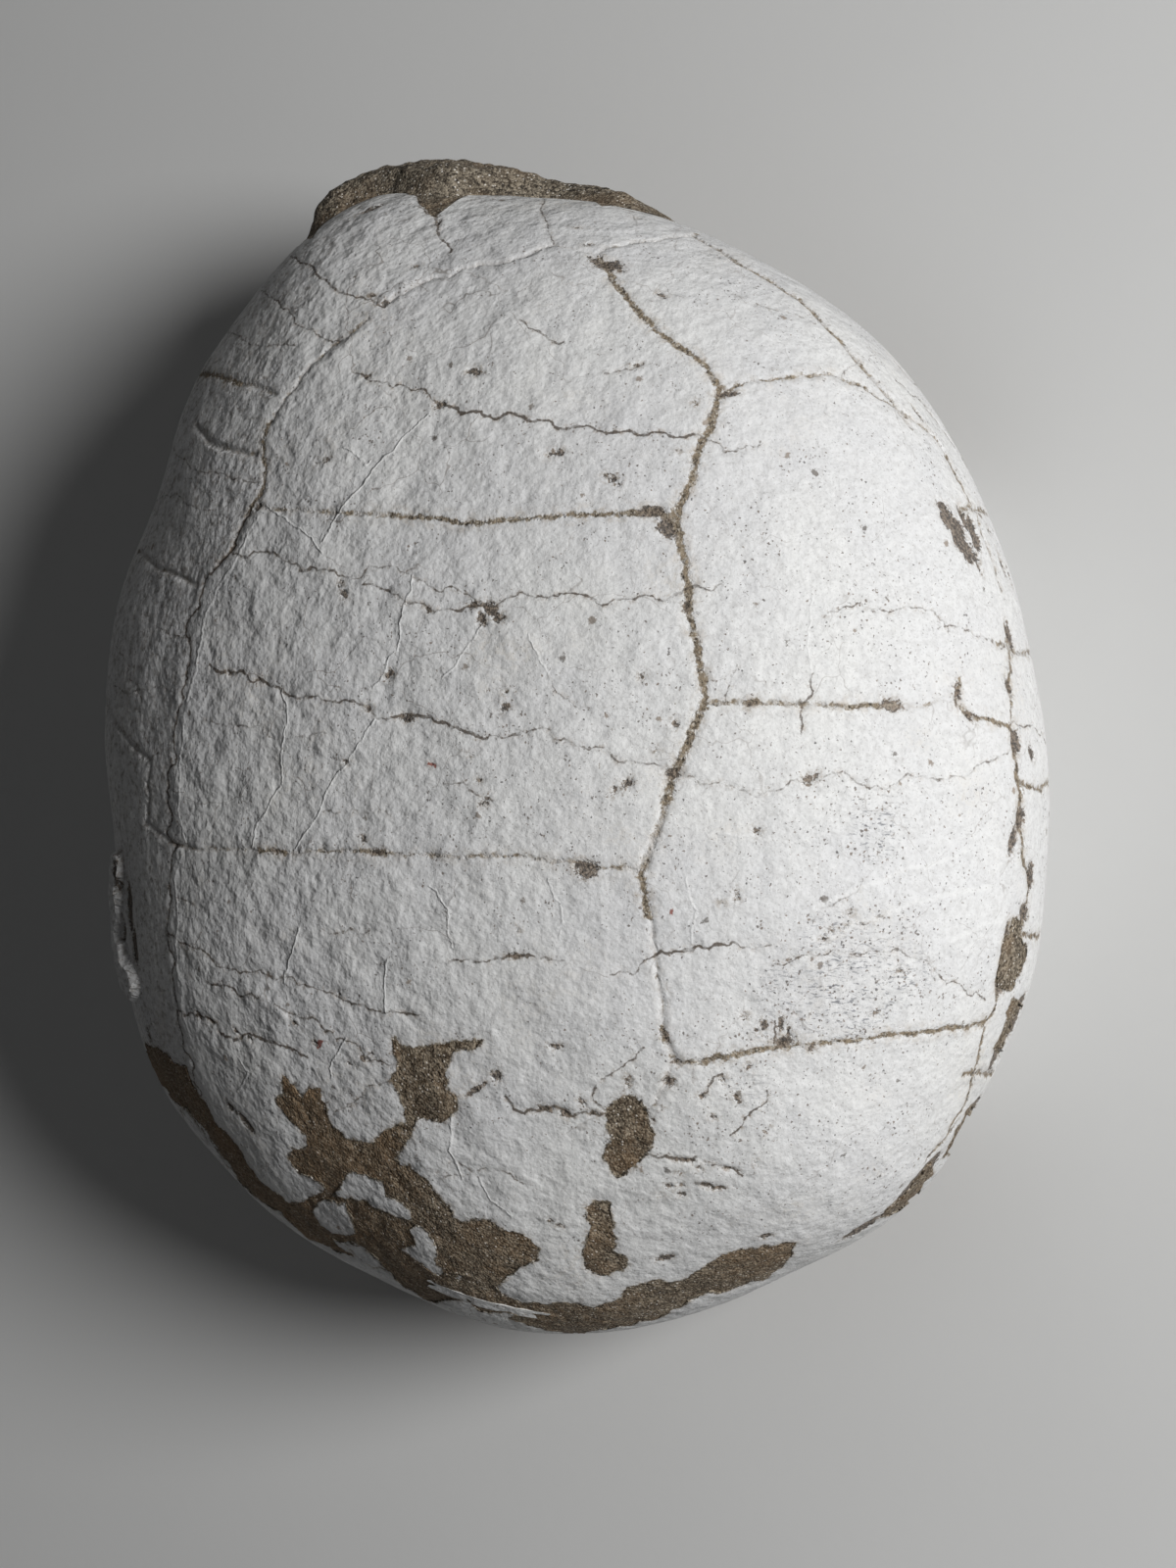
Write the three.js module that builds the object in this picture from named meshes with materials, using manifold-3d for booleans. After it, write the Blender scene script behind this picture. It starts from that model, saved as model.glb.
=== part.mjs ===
// A fossil tortoise shell: a closed case of bone (carapace, bridges and plastron, fused together)
// filled with sandstone. The carapace carries the sulci, the grooves where its horny scutes met. Its
// tail edge is broken away, and flakes of bone are missing near its head end, so the stone shows there.
// Millimetres, +Z up, +Y towards the tail, resting on the flat middle of the plastron at Z = 0.

import * as THREE from 'three';
import { mergeVertices } from 'three/addons/utils/BufferGeometryUtils.js';
import Module from 'manifold-3d';

const wasm = await Module();
wasm.setup();

// The case
const HEIGHT = 103;
const RIM_HEIGHT = 37; // the widest level at the flanks
const RIM_LIFT = 5; // and how much higher it runs at the head and the tail
const CROWN_SHIFT = -6; // how far the crown lies ahead of the middle
const DOME_EXPONENT = 2.15; // of the superellipse over the rim
const BELLY_EXPONENT = 2.8; // and of the one under it,
const BELLY_DEPTH = 1.06; // which is this many rim heights deep and cut flat at Z = 0
const PLAN_RADII = [ // at equal steps of azimuth, from +X to +Y and on
  99, 97.5, 98, 99.5, 102, 104, 105.5, 108, 110, 115, 119, 114, 108.5, 101, 99, 97,
  95, 93.5, 96, 101, 105, 105.5, 106.5, 107, 110, 111, 110, 110, 111, 107.5, 105, 101.5,
];
const PLAN_MIDDLE = [2, 3]; // of the whole fossil, which the origin is moved to
const BONE_THICKNESS = 6.5;
const GAP = 0.3; // between bone and stone

// How finely the case and the stone are faceted: columns around them, and rows by polar angle
const CASE_COLUMNS = 40;
const CASE_ROWS = [13, 27, 41, 54, 66, 76, 85, 94, 105, 118, 132, 146, 158];
const CAVITY_COLUMNS = 24;
const CAVITY_ROWS = [22, 42, 60, 75, 89, 104, 124, 146];
const STONE_COLUMNS = 48;
const STONE_ROWS = [15, 25, 32, 39, 46, 53, 59, 64, 69, 74, 79, 85, 91, 97, 104, 112, 121, 131, 158];

// The sulci
const SULCUS_WIDTH = 2.6;
const SULCUS_DEPTH = 1.5;
const SULCUS_REACH = 1.2; // how far a cutter stands out of the bone
const SULCUS_STEP = 14;

// Cuts through the bone wall, along its normal
const CUT_OUT = 9;
const CUT_IN = -12;
const CUT_ROWS = 6;
const MM_PER_DEGREE = 1.6; // of arc on the case, at least
const SHARPEST_CORNER = 0.35; // limits how far an inset moves a corner

// The stone where it shows
const STONE_RECESS = -1;
const STONE_LUMP = 0.8;
const LUMP_LENGTH = 27;
const TAIL_SWELL = 3.8; // how far it stands out at the broken tail edge,
const TAIL_SWELL_AZIMUTHS = [74, 86, 113, 121]; // where it starts to, does fully, and ends
const TAIL_SWELL_POLARS = [60, 76, 98, 122];
const TAIL_LUMP = 2.6;
const UNDER_RECESS = -4.5; // and how far back it lies below the rim,
const UNDER_POLARS = [92, 104];

const degrees = Math.PI / 180;

// --- The surface of the case, by azimuth from +X and polar angle from the crown ------------------------

// The plan radius: a smooth periodic curve through PLAN_RADII.
function planRadius(azimuth) {
  const count = PLAN_RADII.length;
  let radius = 0;
  for (let i = 0; i < count; i++) {
    const turn = azimuth - i * 2 * Math.PI / count;
    const half = Math.sin(turn / 2);
    const near = Math.abs(half) < 1e-7;
    radius += PLAN_RADII[i] * (near ? 1 : Math.sin(count * turn / 2) * Math.cos(turn / 2) / (count * half));
  }
  return radius;
}

function surfacePoint(azimuth, polar) {
  const cos = Math.abs(Math.cos(polar));
  const sin = Math.abs(Math.sin(polar));
  const radius = planRadius(azimuth);
  const rim = RIM_HEIGHT + RIM_LIFT * Math.sin(azimuth) ** 2;
  if (polar <= Math.PI / 2) {
    const share = sin ** (2 / DOME_EXPONENT);
    return new THREE.Vector3(
      share * radius * Math.cos(azimuth),
      share * radius * Math.sin(azimuth) + CROWN_SHIFT * (1 - share),
      rim + (HEIGHT - rim) * cos ** (2 / DOME_EXPONENT));
  }
  const share = sin ** (2 / BELLY_EXPONENT);
  return new THREE.Vector3(
    share * radius * Math.cos(azimuth),
    share * radius * Math.sin(azimuth),
    Math.max(0, rim - BELLY_DEPTH * rim * cos ** (2 / BELLY_EXPONENT)));
}

function surfaceNormal(azimuth, polar) {
  if (polar < 0.5 * degrees) return new THREE.Vector3(0, 0, 1);
  if (polar > 179.5 * degrees) return new THREE.Vector3(0, 0, -1);
  const step = 0.4 * degrees;
  const around = surfacePoint(azimuth + step, polar).sub(surfacePoint(azimuth - step, polar));
  const down = surfacePoint(azimuth, polar + step).sub(surfacePoint(azimuth, polar - step));
  return down.cross(around).normalize();
}

// A chart point [right, tail] is its polar angle in degrees, laid out towards its azimuth.
function fromChart([right, tail]) {
  return { azimuth: Math.atan2(tail, right), polar: Math.hypot(right, tail) * degrees };
}

// The underside has a chart of the same kind around the middle of the plastron.
function fromBellyChart([right, tail]) {
  return { azimuth: Math.atan2(tail, right), polar: (180 - Math.hypot(right, tail)) * degrees };
}

function placed({ azimuth, polar }, offset = 0) {
  return surfacePoint(azimuth, polar).addScaledVector(surfaceNormal(azimuth, polar), offset);
}

const mirrored = (line) => line.map(([right, tail]) => [-right, tail]);

// --- Closed meshes and solids --------------------------------------------------------------------------

function solidFrom(positions, triangles) {
  const geometry = new THREE.BufferGeometry();
  const numbers = positions.flatMap(({ x, y, z }) => [x, y, z]);
  geometry.setAttribute('position', new THREE.Float32BufferAttribute(numbers, 3));
  geometry.setIndex(triangles.flat());
  const merged = mergeVertices(geometry, 1e-4);
  return new wasm.Manifold(new wasm.Mesh({
    numProp: 3,
    vertProperties: new Float32Array(merged.attributes.position.array),
    triVerts: new Uint32Array(merged.index.array),
  }));
}

function geometryFrom(solid) {
  const mesh = solid.getMesh();
  const geometry = new THREE.BufferGeometry();
  geometry.setAttribute('position', new THREE.BufferAttribute(mesh.vertProperties, 3));
  geometry.setIndex(new THREE.BufferAttribute(mesh.triVerts, 1));
  geometry.computeVertexNormals();
  return geometry;
}

const joined = (solids) => solids.reduce((sum, solid) => sum.add(solid));

// The whole case as one closed body, moved along its normal by offset(azimuth, polar).
function caseBody(offset, columns, rows) {
  const positions = [placed({ azimuth: 0, polar: 0 }, offset(0, 0))];
  for (const row of rows) {
    for (let column = 0; column < columns; column++) {
      const azimuth = column * 2 * Math.PI / columns;
      positions.push(placed({ azimuth, polar: row * degrees }, offset(azimuth, row * degrees)));
    }
  }
  positions.push(placed({ azimuth: 0, polar: Math.PI }, offset(0, Math.PI)));
  const triangles = [];
  const last = positions.length - 1;
  for (let column = 0; column < columns; column++) {
    const next = (column + 1) % columns;
    triangles.push([0, 1 + column, 1 + next]);
    for (let row = 0; row < rows.length - 1; row++) {
      const upper = 1 + row * columns;
      const lower = upper + columns;
      triangles.push([upper + column, lower + column, lower + next]);
      triangles.push([upper + column, lower + next, upper + next]);
    }
    const ring = 1 + (rows.length - 1) * columns;
    triangles.push([ring + column, last, ring + next]);
  }
  return solidFrom(positions, triangles);
}

// A V-shaped cutter along a line of surface places, one wedge for each step.
function sulcusCutter(line, fromLine = fromChart) {
  const points = [];
  for (let i = 0; i < line.length - 1; i++) {
    const [a, b] = [line[i], line[i + 1]];
    const length = placed(fromLine(a)).distanceTo(placed(fromLine(b)));
    const steps = Math.max(1, Math.round(length / SULCUS_STEP));
    for (let step = i ? 1 : 0; step <= steps; step++) {
      points.push(fromLine([0, 1].map((k) => THREE.MathUtils.lerp(a[k], b[k], step / steps))));
    }
  }
  const halfWidth = SULCUS_WIDTH / 2 * (1 + SULCUS_REACH / SULCUS_DEPTH);
  const section = (place, along) => {
    const normal = surfaceNormal(place.azimuth, place.polar);
    const side = new THREE.Vector3().crossVectors(along, normal).normalize();
    const top = placed(place, SULCUS_REACH);
    return [
      placed(place, -SULCUS_DEPTH),
      top.clone().addScaledVector(side, halfWidth),
      top.clone().addScaledVector(side, -halfWidth),
    ];
  };
  const faces = [[0, 1, 2], [3, 5, 4], [0, 3, 4], [0, 4, 1], [1, 4, 5], [1, 5, 2], [2, 5, 3], [2, 3, 0]];
  const wedges = [];
  for (let i = 0; i < points.length - 1; i++) {
    const along = placed(points[i + 1]).sub(placed(points[i]));
    wedges.push(solidFrom([...section(points[i], along), ...section(points[i + 1], along)], faces));
  }
  return joined(wedges);
}

// Moves each corner of a flat anticlockwise outline inwards.
function insetOutline(outline, inset) {
  return outline.map((corner, i) => {
    const before = outline.at(i - 1);
    const after = outline[(i + 1) % outline.length];
    const into = corner.clone().sub(before).normalize();
    const away = after.clone().sub(corner).normalize();
    const bisector = new THREE.Vector2(-into.y - away.y, into.x + away.x);
    const share = Math.max(SHARPEST_CORNER, bisector.lengthSq() / 2);
    return corner.clone().addScaledVector(bisector, inset / share);
  });
}

// A straight cutter through the bone under an outline of chart points.
function flakeCutter(outline, inset = 0) {
  const mean = (k) => outline.reduce((sum, point) => sum + point[k], 0) / outline.length;
  const middle = fromChart([mean(0), mean(1)]);
  const normal = surfaceNormal(middle.azimuth, middle.polar);
  const across = new THREE.Vector3(-Math.sin(middle.azimuth), Math.cos(middle.azimuth), 0);
  const up = new THREE.Vector3().crossVectors(normal, across);
  const points = outline.map((point) => placed(fromChart(point)));
  let flat = points.map((point) => new THREE.Vector2(point.dot(across), point.dot(up)));
  let heights = points.map((point) => point.dot(normal));
  if (THREE.ShapeUtils.isClockWise(flat)) {
    flat.reverse();
    heights.reverse();
  }
  flat = insetOutline(flat, inset);
  const axes = new THREE.Matrix4().makeBasis(across, up, normal);
  const at = (i, out) => new THREE.Vector3(flat[i].x, flat[i].y, heights[i] + out).applyMatrix4(axes);
  const count = flat.length;
  const positions = [...flat.map((_, i) => at(i, CUT_OUT)), ...flat.map((_, i) => at(i, CUT_IN))];
  const triangles = [];
  for (const [a, b, c] of THREE.ShapeUtils.triangulateShape(flat, [])) {
    triangles.push([a, b, c], [count + c, count + b, count + a]);
  }
  for (let i = 0; i < count; i++) {
    const next = (i + 1) % count;
    triangles.push([i, count + i, count + next], [i, count + next, next]);
  }
  return solidFrom(positions, triangles);
}

function along(line, azimuth) {
  const i = Math.max(1, line.findIndex(([to]) => azimuth <= to));
  const [[from, start], [to, end]] = [line[i - 1], line[i]];
  return THREE.MathUtils.mapLinear(azimuth, from, to, start, end);
}

// A cutter for the opening between an upper and a lower edge, both as [azimuth, polar] in degrees.
function openingCutter({ upper, lower }, inset = 0) {
  const shrink = inset / MM_PER_DEGREE;
  const azimuths = [...new Set([...upper, ...lower].map(([azimuth]) => azimuth))].sort((a, b) => a - b);
  const first = azimuths[0];
  const last = azimuths.at(-1);
  const rows = CUT_ROWS;
  const positions = [];
  for (const azimuth of azimuths) {
    const top = along(upper, azimuth) + shrink;
    const bottom = along(lower, azimuth) - shrink;
    const turned = THREE.MathUtils.clamp(azimuth, first + shrink, last - shrink);
    for (const offset of [CUT_OUT, CUT_IN]) {
      for (let row = 0; row <= rows; row++) {
        const polar = THREE.MathUtils.lerp(top, bottom, row / rows);
        positions.push(placed({ azimuth: turned * degrees, polar: polar * degrees }, offset));
      }
    }
  }
  const side = rows + 1;
  const index = (column, layer, row) => (column * 2 + layer) * side + row;
  const triangles = [];
  const quad = (a, b, c, d) => triangles.push([a, b, c], [a, c, d]);
  const columns = azimuths.length - 1;
  for (let column = 0; column < columns; column++) {
    for (let row = 0; row < rows; row++) {
      const [a, b] = [index(column, 0, row), index(column + 1, 0, row)];
      const [c, d] = [index(column, 1, row), index(column + 1, 1, row)];
      quad(a, a + 1, b + 1, b);
      quad(c, d, d + 1, c + 1);
    }
    for (const [row, from, to] of [[0, column, column + 1], [rows, column + 1, column]]) {
      quad(index(from, 0, row), index(to, 0, row), index(to, 1, row), index(from, 1, row));
    }
  }
  for (let row = 0; row < rows; row++) {
    for (const [column, from, to] of [[0, 0, 1], [columns, 1, 0]]) {
      const [a, b] = [index(column, from, row), index(column, to, row)];
      quad(a, b, b + 1, a + 1);
    }
  }
  return solidFrom(positions, triangles);
}

// --- The scutes ----------------------------------------------------------------------------------------

const VERTEBRAL_EDGE = [
  [14, 60], [26, 47], [32, 42], [29, 26], [31, 21], [34, 9], [30, -3], [26, -9], [29, -29], [26, -35],
  [20, -48],
];
const LEFT_VERTEBRAL_EDGE = [
  [-8, 44], [-18, 31], [-17, 23], [-28, 15], [-31, 1], [-29, -10], [-30, -28], [-28, -40], [-23, -50],
];
const MARGINAL_EDGE = [
  [24, 77], [42, 68], [59, 54], [70, 51], [78, 42], [82, 32], [84, 15], [83, 0], [84, -18], [78, -32],
  [71, -48], [62, -59],
];
const CROWN_SULCI = [
  VERTEBRAL_EDGE,
  LEFT_VERTEBRAL_EDGE,
  MARGINAL_EDGE,
  mirrored(MARGINAL_EDGE.slice(2)),
  [[-17, 23], [1, 22], [16, 24], [29, 26]], // between the vertebral scutes
  [[-29, -10], [-10, -6], [13, -7], [26, -9]],
  [[6, -31], [14, -33], [26, -35]],
  [[-8, 44], [3, 54], [14, 60]],
  [[-8, 44], [-13, 46], [-26, 56]],
  [[14, 60], [18, 66], [24, 77]],
  [[32, 42], [47, 52], [59, 54]], // between the costal scutes
  [[34, 9], [60, 9], [83, 9]],
  [[29, -29], [54, -29], [78, -32]],
  mirrored([[18, 34], [36, 46], [59, 54]]),
  mirrored([[31, 1], [58, 5], [83, 7]]),
  mirrored([[30, -28], [54, -30], [78, -32]]),
];
const MARGINAL_AZIMUTHS = [-30, -15, 0, 15, 30, 152, 166, 180, 194, 208]; // of the sulci on the rim
const MARGINAL_POLARS = [84, 108];
const BELLY_SULCI = [
  [[0, -46], [0, 46]],
  [[-24, -44], [0, -34], [24, -44]],
  [[-52, -22], [-20, -19], [20, -19], [52, -22]],
  [[-54, 14], [-20, 11], [20, 11], [54, 14]],
  [[-26, 40], [0, 33], [26, 40]],
];

// --- Where bone is missing -----------------------------------------------------------------------------

const FLAKES = [
  [[1, -25], [10, -24], [7, -27], [6, -30], [7, -33], [2, -36], [-1, -40], [-3, -38], [1, -33], [0, -28]],
  [[-13, -32], [-11, -35], [-8, -33], [-7, -38], [-1, -37], [2, -36], [0, -43], [-7, -48], [-16, -46],
    [-13, -41], [-15, -36]],
  [[-7, -43], [0, -40], [5, -48], [14, -53], [14, -56], [8, -62], [7, -71], [-4, -68], [-13, -59],
    [-15, -55]],
  [[5, -63], [13, -67], [22, -67], [31, -64], [31, -71], [18, -74], [6, -72]],
  [[29, -64], [36, -59], [46, -61], [46, -68], [29, -71]],
  [[-44, -39], [-38, -37], [-30, -36], [-28, -41], [-29, -52], [-35, -47], [-42, -44]],
  [[-27, -42], [-24, -48], [-12, -58], [-13, -63], [-22, -62], [-30, -54]],
  [[24, -31], [27, -34], [28, -37], [24, -42], [22, -38]],
  [[20, -46], [23, -46], [24, -52], [25, -58], [20, -59], [19, -53]],
  [[79, -23], [78, -30], [84, -32], [86, -28], [84, -20]],
  [[79, -34], [77, -41], [82, -44], [87, -38]],
];
const TAIL_OPENING = {
  upper: [[36, 98], [58, 97], [68, 91], [80, 84], [84, 79], [88, 88], [96, 81], [99, 66], [104, 75],
    [109, 79], [112, 76], [114, 67], [118, 73], [121, 85], [126, 95], [144, 98]],
  lower: [[36, 116], [46, 133], [58, 138], [74, 130], [84, 127], [90, 131], [96, 127], [106, 130],
    [122, 138], [134, 133], [144, 116]],
};
const HEAD_OPENING = {
  upper: [[216, 99], [230, 98], [248, 99], [262, 97], [278, 98], [292, 99], [310, 98], [324, 99]],
  lower: [[216, 116], [226, 133], [240, 137], [254, 128], [263, 122], [277, 122], [286, 128], [300, 137],
    [314, 133], [324, 116]],
};

// --- The stone -----------------------------------------------------------------------------------------

// Between -1 and 1.
function lumps(point, wavelength) {
  const { x, y, z } = point.clone().multiplyScalar(2 * Math.PI / wavelength);
  const broad = Math.sin(x + 1.3 * Math.sin(0.7 * y)) * Math.cos(0.9 * y + 0.6 * z);
  return (2 * broad + Math.sin(1.7 * z - 1.1 * x + y)) / 3;
}

// 0 below the first limit and 1 above the second, and where there are four, back to 0 above the last.
function between(value, [low, high, highEnd, lowEnd]) {
  const rise = THREE.MathUtils.smoothstep(value, low, high);
  return lowEnd === undefined ? rise : rise * (1 - THREE.MathUtils.smoothstep(value, highEnd, lowEnd));
}

// How far the rough stone surface stands out of the case's own surface.
function stoneOffset(azimuth, polar) {
  const across = between(azimuth / degrees, TAIL_SWELL_AZIMUTHS);
  const atTail = across * between(polar / degrees, TAIL_SWELL_POLARS);
  const under = between(polar / degrees, UNDER_POLARS);
  const height = THREE.MathUtils.lerp(STONE_LUMP, TAIL_LUMP, Math.max(atTail, under));
  const recess = THREE.MathUtils.lerp(STONE_RECESS, UNDER_RECESS, under);
  return recess + atTail * TAIL_SWELL + height * lumps(surfacePoint(azimuth, polar), LUMP_LENGTH);
}

// --- The two pieces ------------------------------------------------------------------------------------

function missingBone(inset = 0) {
  return joined([
    ...FLAKES.map((outline) => flakeCutter(outline, inset)),
    openingCutter(TAIL_OPENING, inset),
    openingCutter(HEAD_OPENING, inset),
  ]);
}

function shellSolid() {
  const marginalLines = MARGINAL_AZIMUTHS.map((azimuth) => {
    const [cos, sin] = [Math.cos(azimuth * degrees), Math.sin(azimuth * degrees)];
    return MARGINAL_POLARS.map((polar) => [polar * cos, polar * sin]);
  });
  const sulci = joined([
    ...[...CROWN_SULCI, ...marginalLines].map((line) => sulcusCutter(line)),
    ...BELLY_SULCI.map((line) => sulcusCutter(line, fromBellyChart)),
  ]);
  const cavity = caseBody(() => -BONE_THICKNESS, CAVITY_COLUMNS, CAVITY_ROWS);
  const whole = caseBody(() => 0, CASE_COLUMNS, CASE_ROWS);
  return whole.subtract(sulci).subtract(cavity).subtract(missingBone());
}

function stoneSolid() {
  const core = caseBody(() => -BONE_THICKNESS - GAP, CAVITY_COLUMNS, CAVITY_ROWS);
  return core.add(caseBody(stoneOffset, STONE_COLUMNS, STONE_ROWS).intersect(missingBone(GAP)));
}

function piece(name, solid, material) {
  const mesh = new THREE.Mesh(geometryFrom(solid), new THREE.MeshStandardMaterial(material));
  mesh.name = name;
  return mesh;
}

const fossil = new THREE.Group();
fossil.position.set(-PLAN_MIDDLE[0], -PLAN_MIDDLE[1], 0);
fossil.add(
  piece('shell', shellSolid(), { color: 0xe6e3e0, roughness: 0.85, metalness: 0 }),
  piece('matrix', stoneSolid(), { color: 0x6b5a48, roughness: 0.95, metalness: 0 }),
);

export default fossil;
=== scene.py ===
"""The looks of a fossil tortoise shell: a case of bone with sandstone in it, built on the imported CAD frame.

Points are in millimetres in the frame of the CAD part until a mesh is made. Places on the side that the
photograph shows are pixels of its 1200 x 1600 frame, and the others are chart points: the polar angle in
degrees from the crown (or from the middle of the plastron), laid out towards its azimuth."""
import math

import bmesh
import bpy
import numpy as np
from mathutils import Matrix, Vector
from mathutils.bvhtree import BVHTree
from mathutils.geometry import tessellate_polygon
from mathutils.kdtree import KDTree


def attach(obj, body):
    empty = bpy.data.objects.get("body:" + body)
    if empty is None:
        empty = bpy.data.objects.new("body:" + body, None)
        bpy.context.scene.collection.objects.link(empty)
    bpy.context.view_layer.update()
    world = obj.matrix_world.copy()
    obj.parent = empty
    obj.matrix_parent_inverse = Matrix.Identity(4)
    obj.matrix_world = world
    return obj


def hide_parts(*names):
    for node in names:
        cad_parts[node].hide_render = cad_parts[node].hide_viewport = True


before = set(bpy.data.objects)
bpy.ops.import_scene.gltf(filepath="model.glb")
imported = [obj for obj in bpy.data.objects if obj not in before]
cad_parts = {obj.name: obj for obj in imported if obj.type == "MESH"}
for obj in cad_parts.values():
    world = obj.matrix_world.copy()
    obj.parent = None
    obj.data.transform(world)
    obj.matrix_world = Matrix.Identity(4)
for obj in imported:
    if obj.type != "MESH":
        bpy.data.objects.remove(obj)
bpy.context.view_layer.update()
rng = np.random.default_rng(41)

# --- The camera -------------------------------------------------------------------------------------------

WIDTH, HEIGHT = 1200, 1600
FOCAL = 2947.0  # pixels
DISTANCE = 560.0
TARGET = np.array([-2.0, -3.0, 50.0])
TARGET_PIXEL = (534, 775)
TILT_RIGHT, TILT_TAIL, ROLL = np.radians([28.0, -1.5, 3.3])


def unit(v):
    return v / np.linalg.norm(v, axis=-1, keepdims=True)


def camera_axes():
    """The camera's place and its right, up and back axes, aimed so that TARGET shows at TARGET_PIXEL."""
    back = unit(np.array([math.tan(TILT_RIGHT), math.tan(TILT_TAIL), 1.0]))
    right = unit(np.cross([0, 1, 0], back))
    up = np.cross(back, right)
    right, up = (math.cos(ROLL) * right + math.sin(ROLL) * up, -math.sin(ROLL) * right + math.cos(ROLL) * up)
    place = TARGET + back * DISTANCE
    across = (WIDTH / 2 - TARGET_PIXEL[0]) / FOCAL
    down = (HEIGHT / 2 - TARGET_PIXEL[1]) / FOCAL
    back = unit(back - across * right + down * up)
    right = unit(np.cross(up, back))
    return place, right, np.cross(back, right), back


EYE, RIGHT, UP, BACK = camera_axes()

# --- The surface of the case, as in the CAD source --------------------------------------------------------

CROWN = 103.0
RIM_HEIGHT, RIM_LIFT = 37.0, 5.0
CROWN_SHIFT = -6.0
DOME_EXPONENT, BELLY_EXPONENT, BELLY_DEPTH = 2.15, 2.8, 1.06
PLAN_RADII = np.array([99, 97.5, 98, 99.5, 102, 104, 105.5, 108, 110, 115, 119, 114, 108.5, 101, 99, 97,
                       95, 93.5, 96, 101, 105, 105.5, 106.5, 107, 110, 111, 110, 110, 111, 107.5, 105, 101.5])
PLAN_MIDDLE = np.array([2.0, 3.0, 0.0])
BONE = 6.5
GAP = 0.3


def plan_radius(azimuth):
    count = len(PLAN_RADII)
    turn = azimuth[..., None] - np.arange(count) * 2 * np.pi / count
    half = np.sin(turn / 2)
    near = np.abs(half) < 1e-7
    share = np.where(near, 1, np.sin(count * turn / 2) * np.cos(turn / 2) / (count * np.where(near, 1, half)))
    return share @ PLAN_RADII


def surface(azimuth, polar):
    cos, sin = np.abs(np.cos(polar)), np.abs(np.sin(polar))
    radius = plan_radius(azimuth)
    rim = RIM_HEIGHT + RIM_LIFT * np.sin(azimuth) ** 2
    dome = polar <= np.pi / 2
    share = np.where(dome, sin ** (2 / DOME_EXPONENT), sin ** (2 / BELLY_EXPONENT))
    top = rim + (CROWN - rim) * cos ** (2 / DOME_EXPONENT)
    bottom = np.maximum(0, rim - BELLY_DEPTH * rim * cos ** (2 / BELLY_EXPONENT))
    along = share * radius * np.sin(azimuth) + CROWN_SHIFT * (1 - share) * dome
    return np.stack([share * radius * np.cos(azimuth), along, np.where(dome, top, bottom)], -1) - PLAN_MIDDLE


def normal_at(azimuth, polar):
    polar = np.clip(polar, math.radians(1), math.radians(179))
    step = math.radians(0.4)
    around = surface(azimuth + step, polar) - surface(azimuth - step, polar)
    down = surface(azimuth, polar + step) - surface(azimuth, polar - step)
    return unit(np.cross(down, around))


def angles(ways):
    """Unit directions to (azimuth, polar)."""
    return np.arctan2(ways[:, 1], ways[:, 0]), np.arctan2(np.hypot(ways[:, 0], ways[:, 1]), ways[:, 2])


def directions(azimuth, polar):
    return np.stack([np.sin(polar) * np.cos(azimuth), np.sin(polar) * np.sin(azimuth), np.cos(polar)], -1)


def icosphere(subdivisions):
    """Directions and triangles of an icosphere."""
    mesh = bpy.data.meshes.new("start")
    shape = bmesh.new()
    bmesh.ops.create_icosphere(shape, subdivisions=subdivisions, radius=1)
    shape.to_mesh(mesh)
    shape.free()
    ways = np.empty(len(mesh.vertices) * 3)
    mesh.vertices.foreach_get("co", ways)
    triangles = np.empty(len(mesh.polygons) * 3, np.int64)
    mesh.polygons.foreach_get("vertices", triangles)
    bpy.data.meshes.remove(mesh)
    return unit(ways.reshape(-1, 3)), triangles.reshape(-1, 3)


class Base:
    """The smooth surface, to find places on it."""

    def __init__(self):
        self.ways, self.triangles = icosphere(7)
        self.points = surface(*angles(self.ways))
        self.tree = BVHTree.FromPolygons(self.points.tolist(), self.triangles.tolist())

    def way(self, place, face):
        """The direction that belongs to a place on a face."""
        corners = self.points[self.triangles[face]]
        a, b = corners[1] - corners[0], corners[2] - corners[0]
        p = place - corners[0]
        aa, ab, bb, pa, pb = a @ a, a @ b, b @ b, p @ a, p @ b
        low = aa * bb - ab * ab
        v, w = (bb * pa - ab * pb) / low, (aa * pb - ab * pa) / low
        return (self.ways[self.triangles[face]] * np.array([[1 - v - w], [v], [w]])).sum(0)

    def ways_near(self, points):
        found = np.empty((len(points), 3))
        for i, point in enumerate(points):
            place, _, face, _ = self.tree.find_nearest(point)
            found[i] = self.way(np.array(place), face)
        return unit(found)

    def ways_seen(self, pixels):
        found = np.empty((len(pixels), 3))
        eye = Vector(EYE)
        for i, (x, y) in enumerate(pixels):
            ray = unit((x - WIDTH / 2) * RIGHT - (y - HEIGHT / 2) * UP - FOCAL * BACK)
            place, _, face, _ = self.tree.ray_cast(eye, Vector(ray))
            if place is None:  # beside the outline: the nearest place on it
                tries = [self.tree.find_nearest(Vector(EYE + ray * reach)) for reach in range(480, 601, 12)]
                place, _, face, _ = min(tries, key=lambda found: found[3])
            found[i] = self.way(np.array(place), face)
        return unit(found)


base = Base()

# --- Lines on the surface ---------------------------------------------------------------------------------

LINE_STEP = 3.0  # pixels
CHART_STEP = 0.8  # degrees


def wander(points, amount, step, closed=False):
    """The polyline with fractal midpoints, until no step is longer than step."""
    line = np.array(list(points) + list(points[:1] if closed else []), float)
    while True:
        leap = np.diff(line, axis=0)
        length = np.hypot(leap[:, 0], leap[:, 1])
        split = length > step
        if not split.any():
            return line[:-1] if closed else line
        side = np.stack([-leap[:, 1], leap[:, 0]], -1) * rng.normal(0, amount, len(leap))[:, None]
        middle = (line[1:] + line[:-1]) / 2 + np.clip(side, -4 * step, 4 * step)
        keys = np.concatenate([np.arange(len(line)), np.arange(len(leap))[split] + 0.5])
        line = np.concatenate([line, middle[split]])[np.argsort(keys, kind="stable")]


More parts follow.
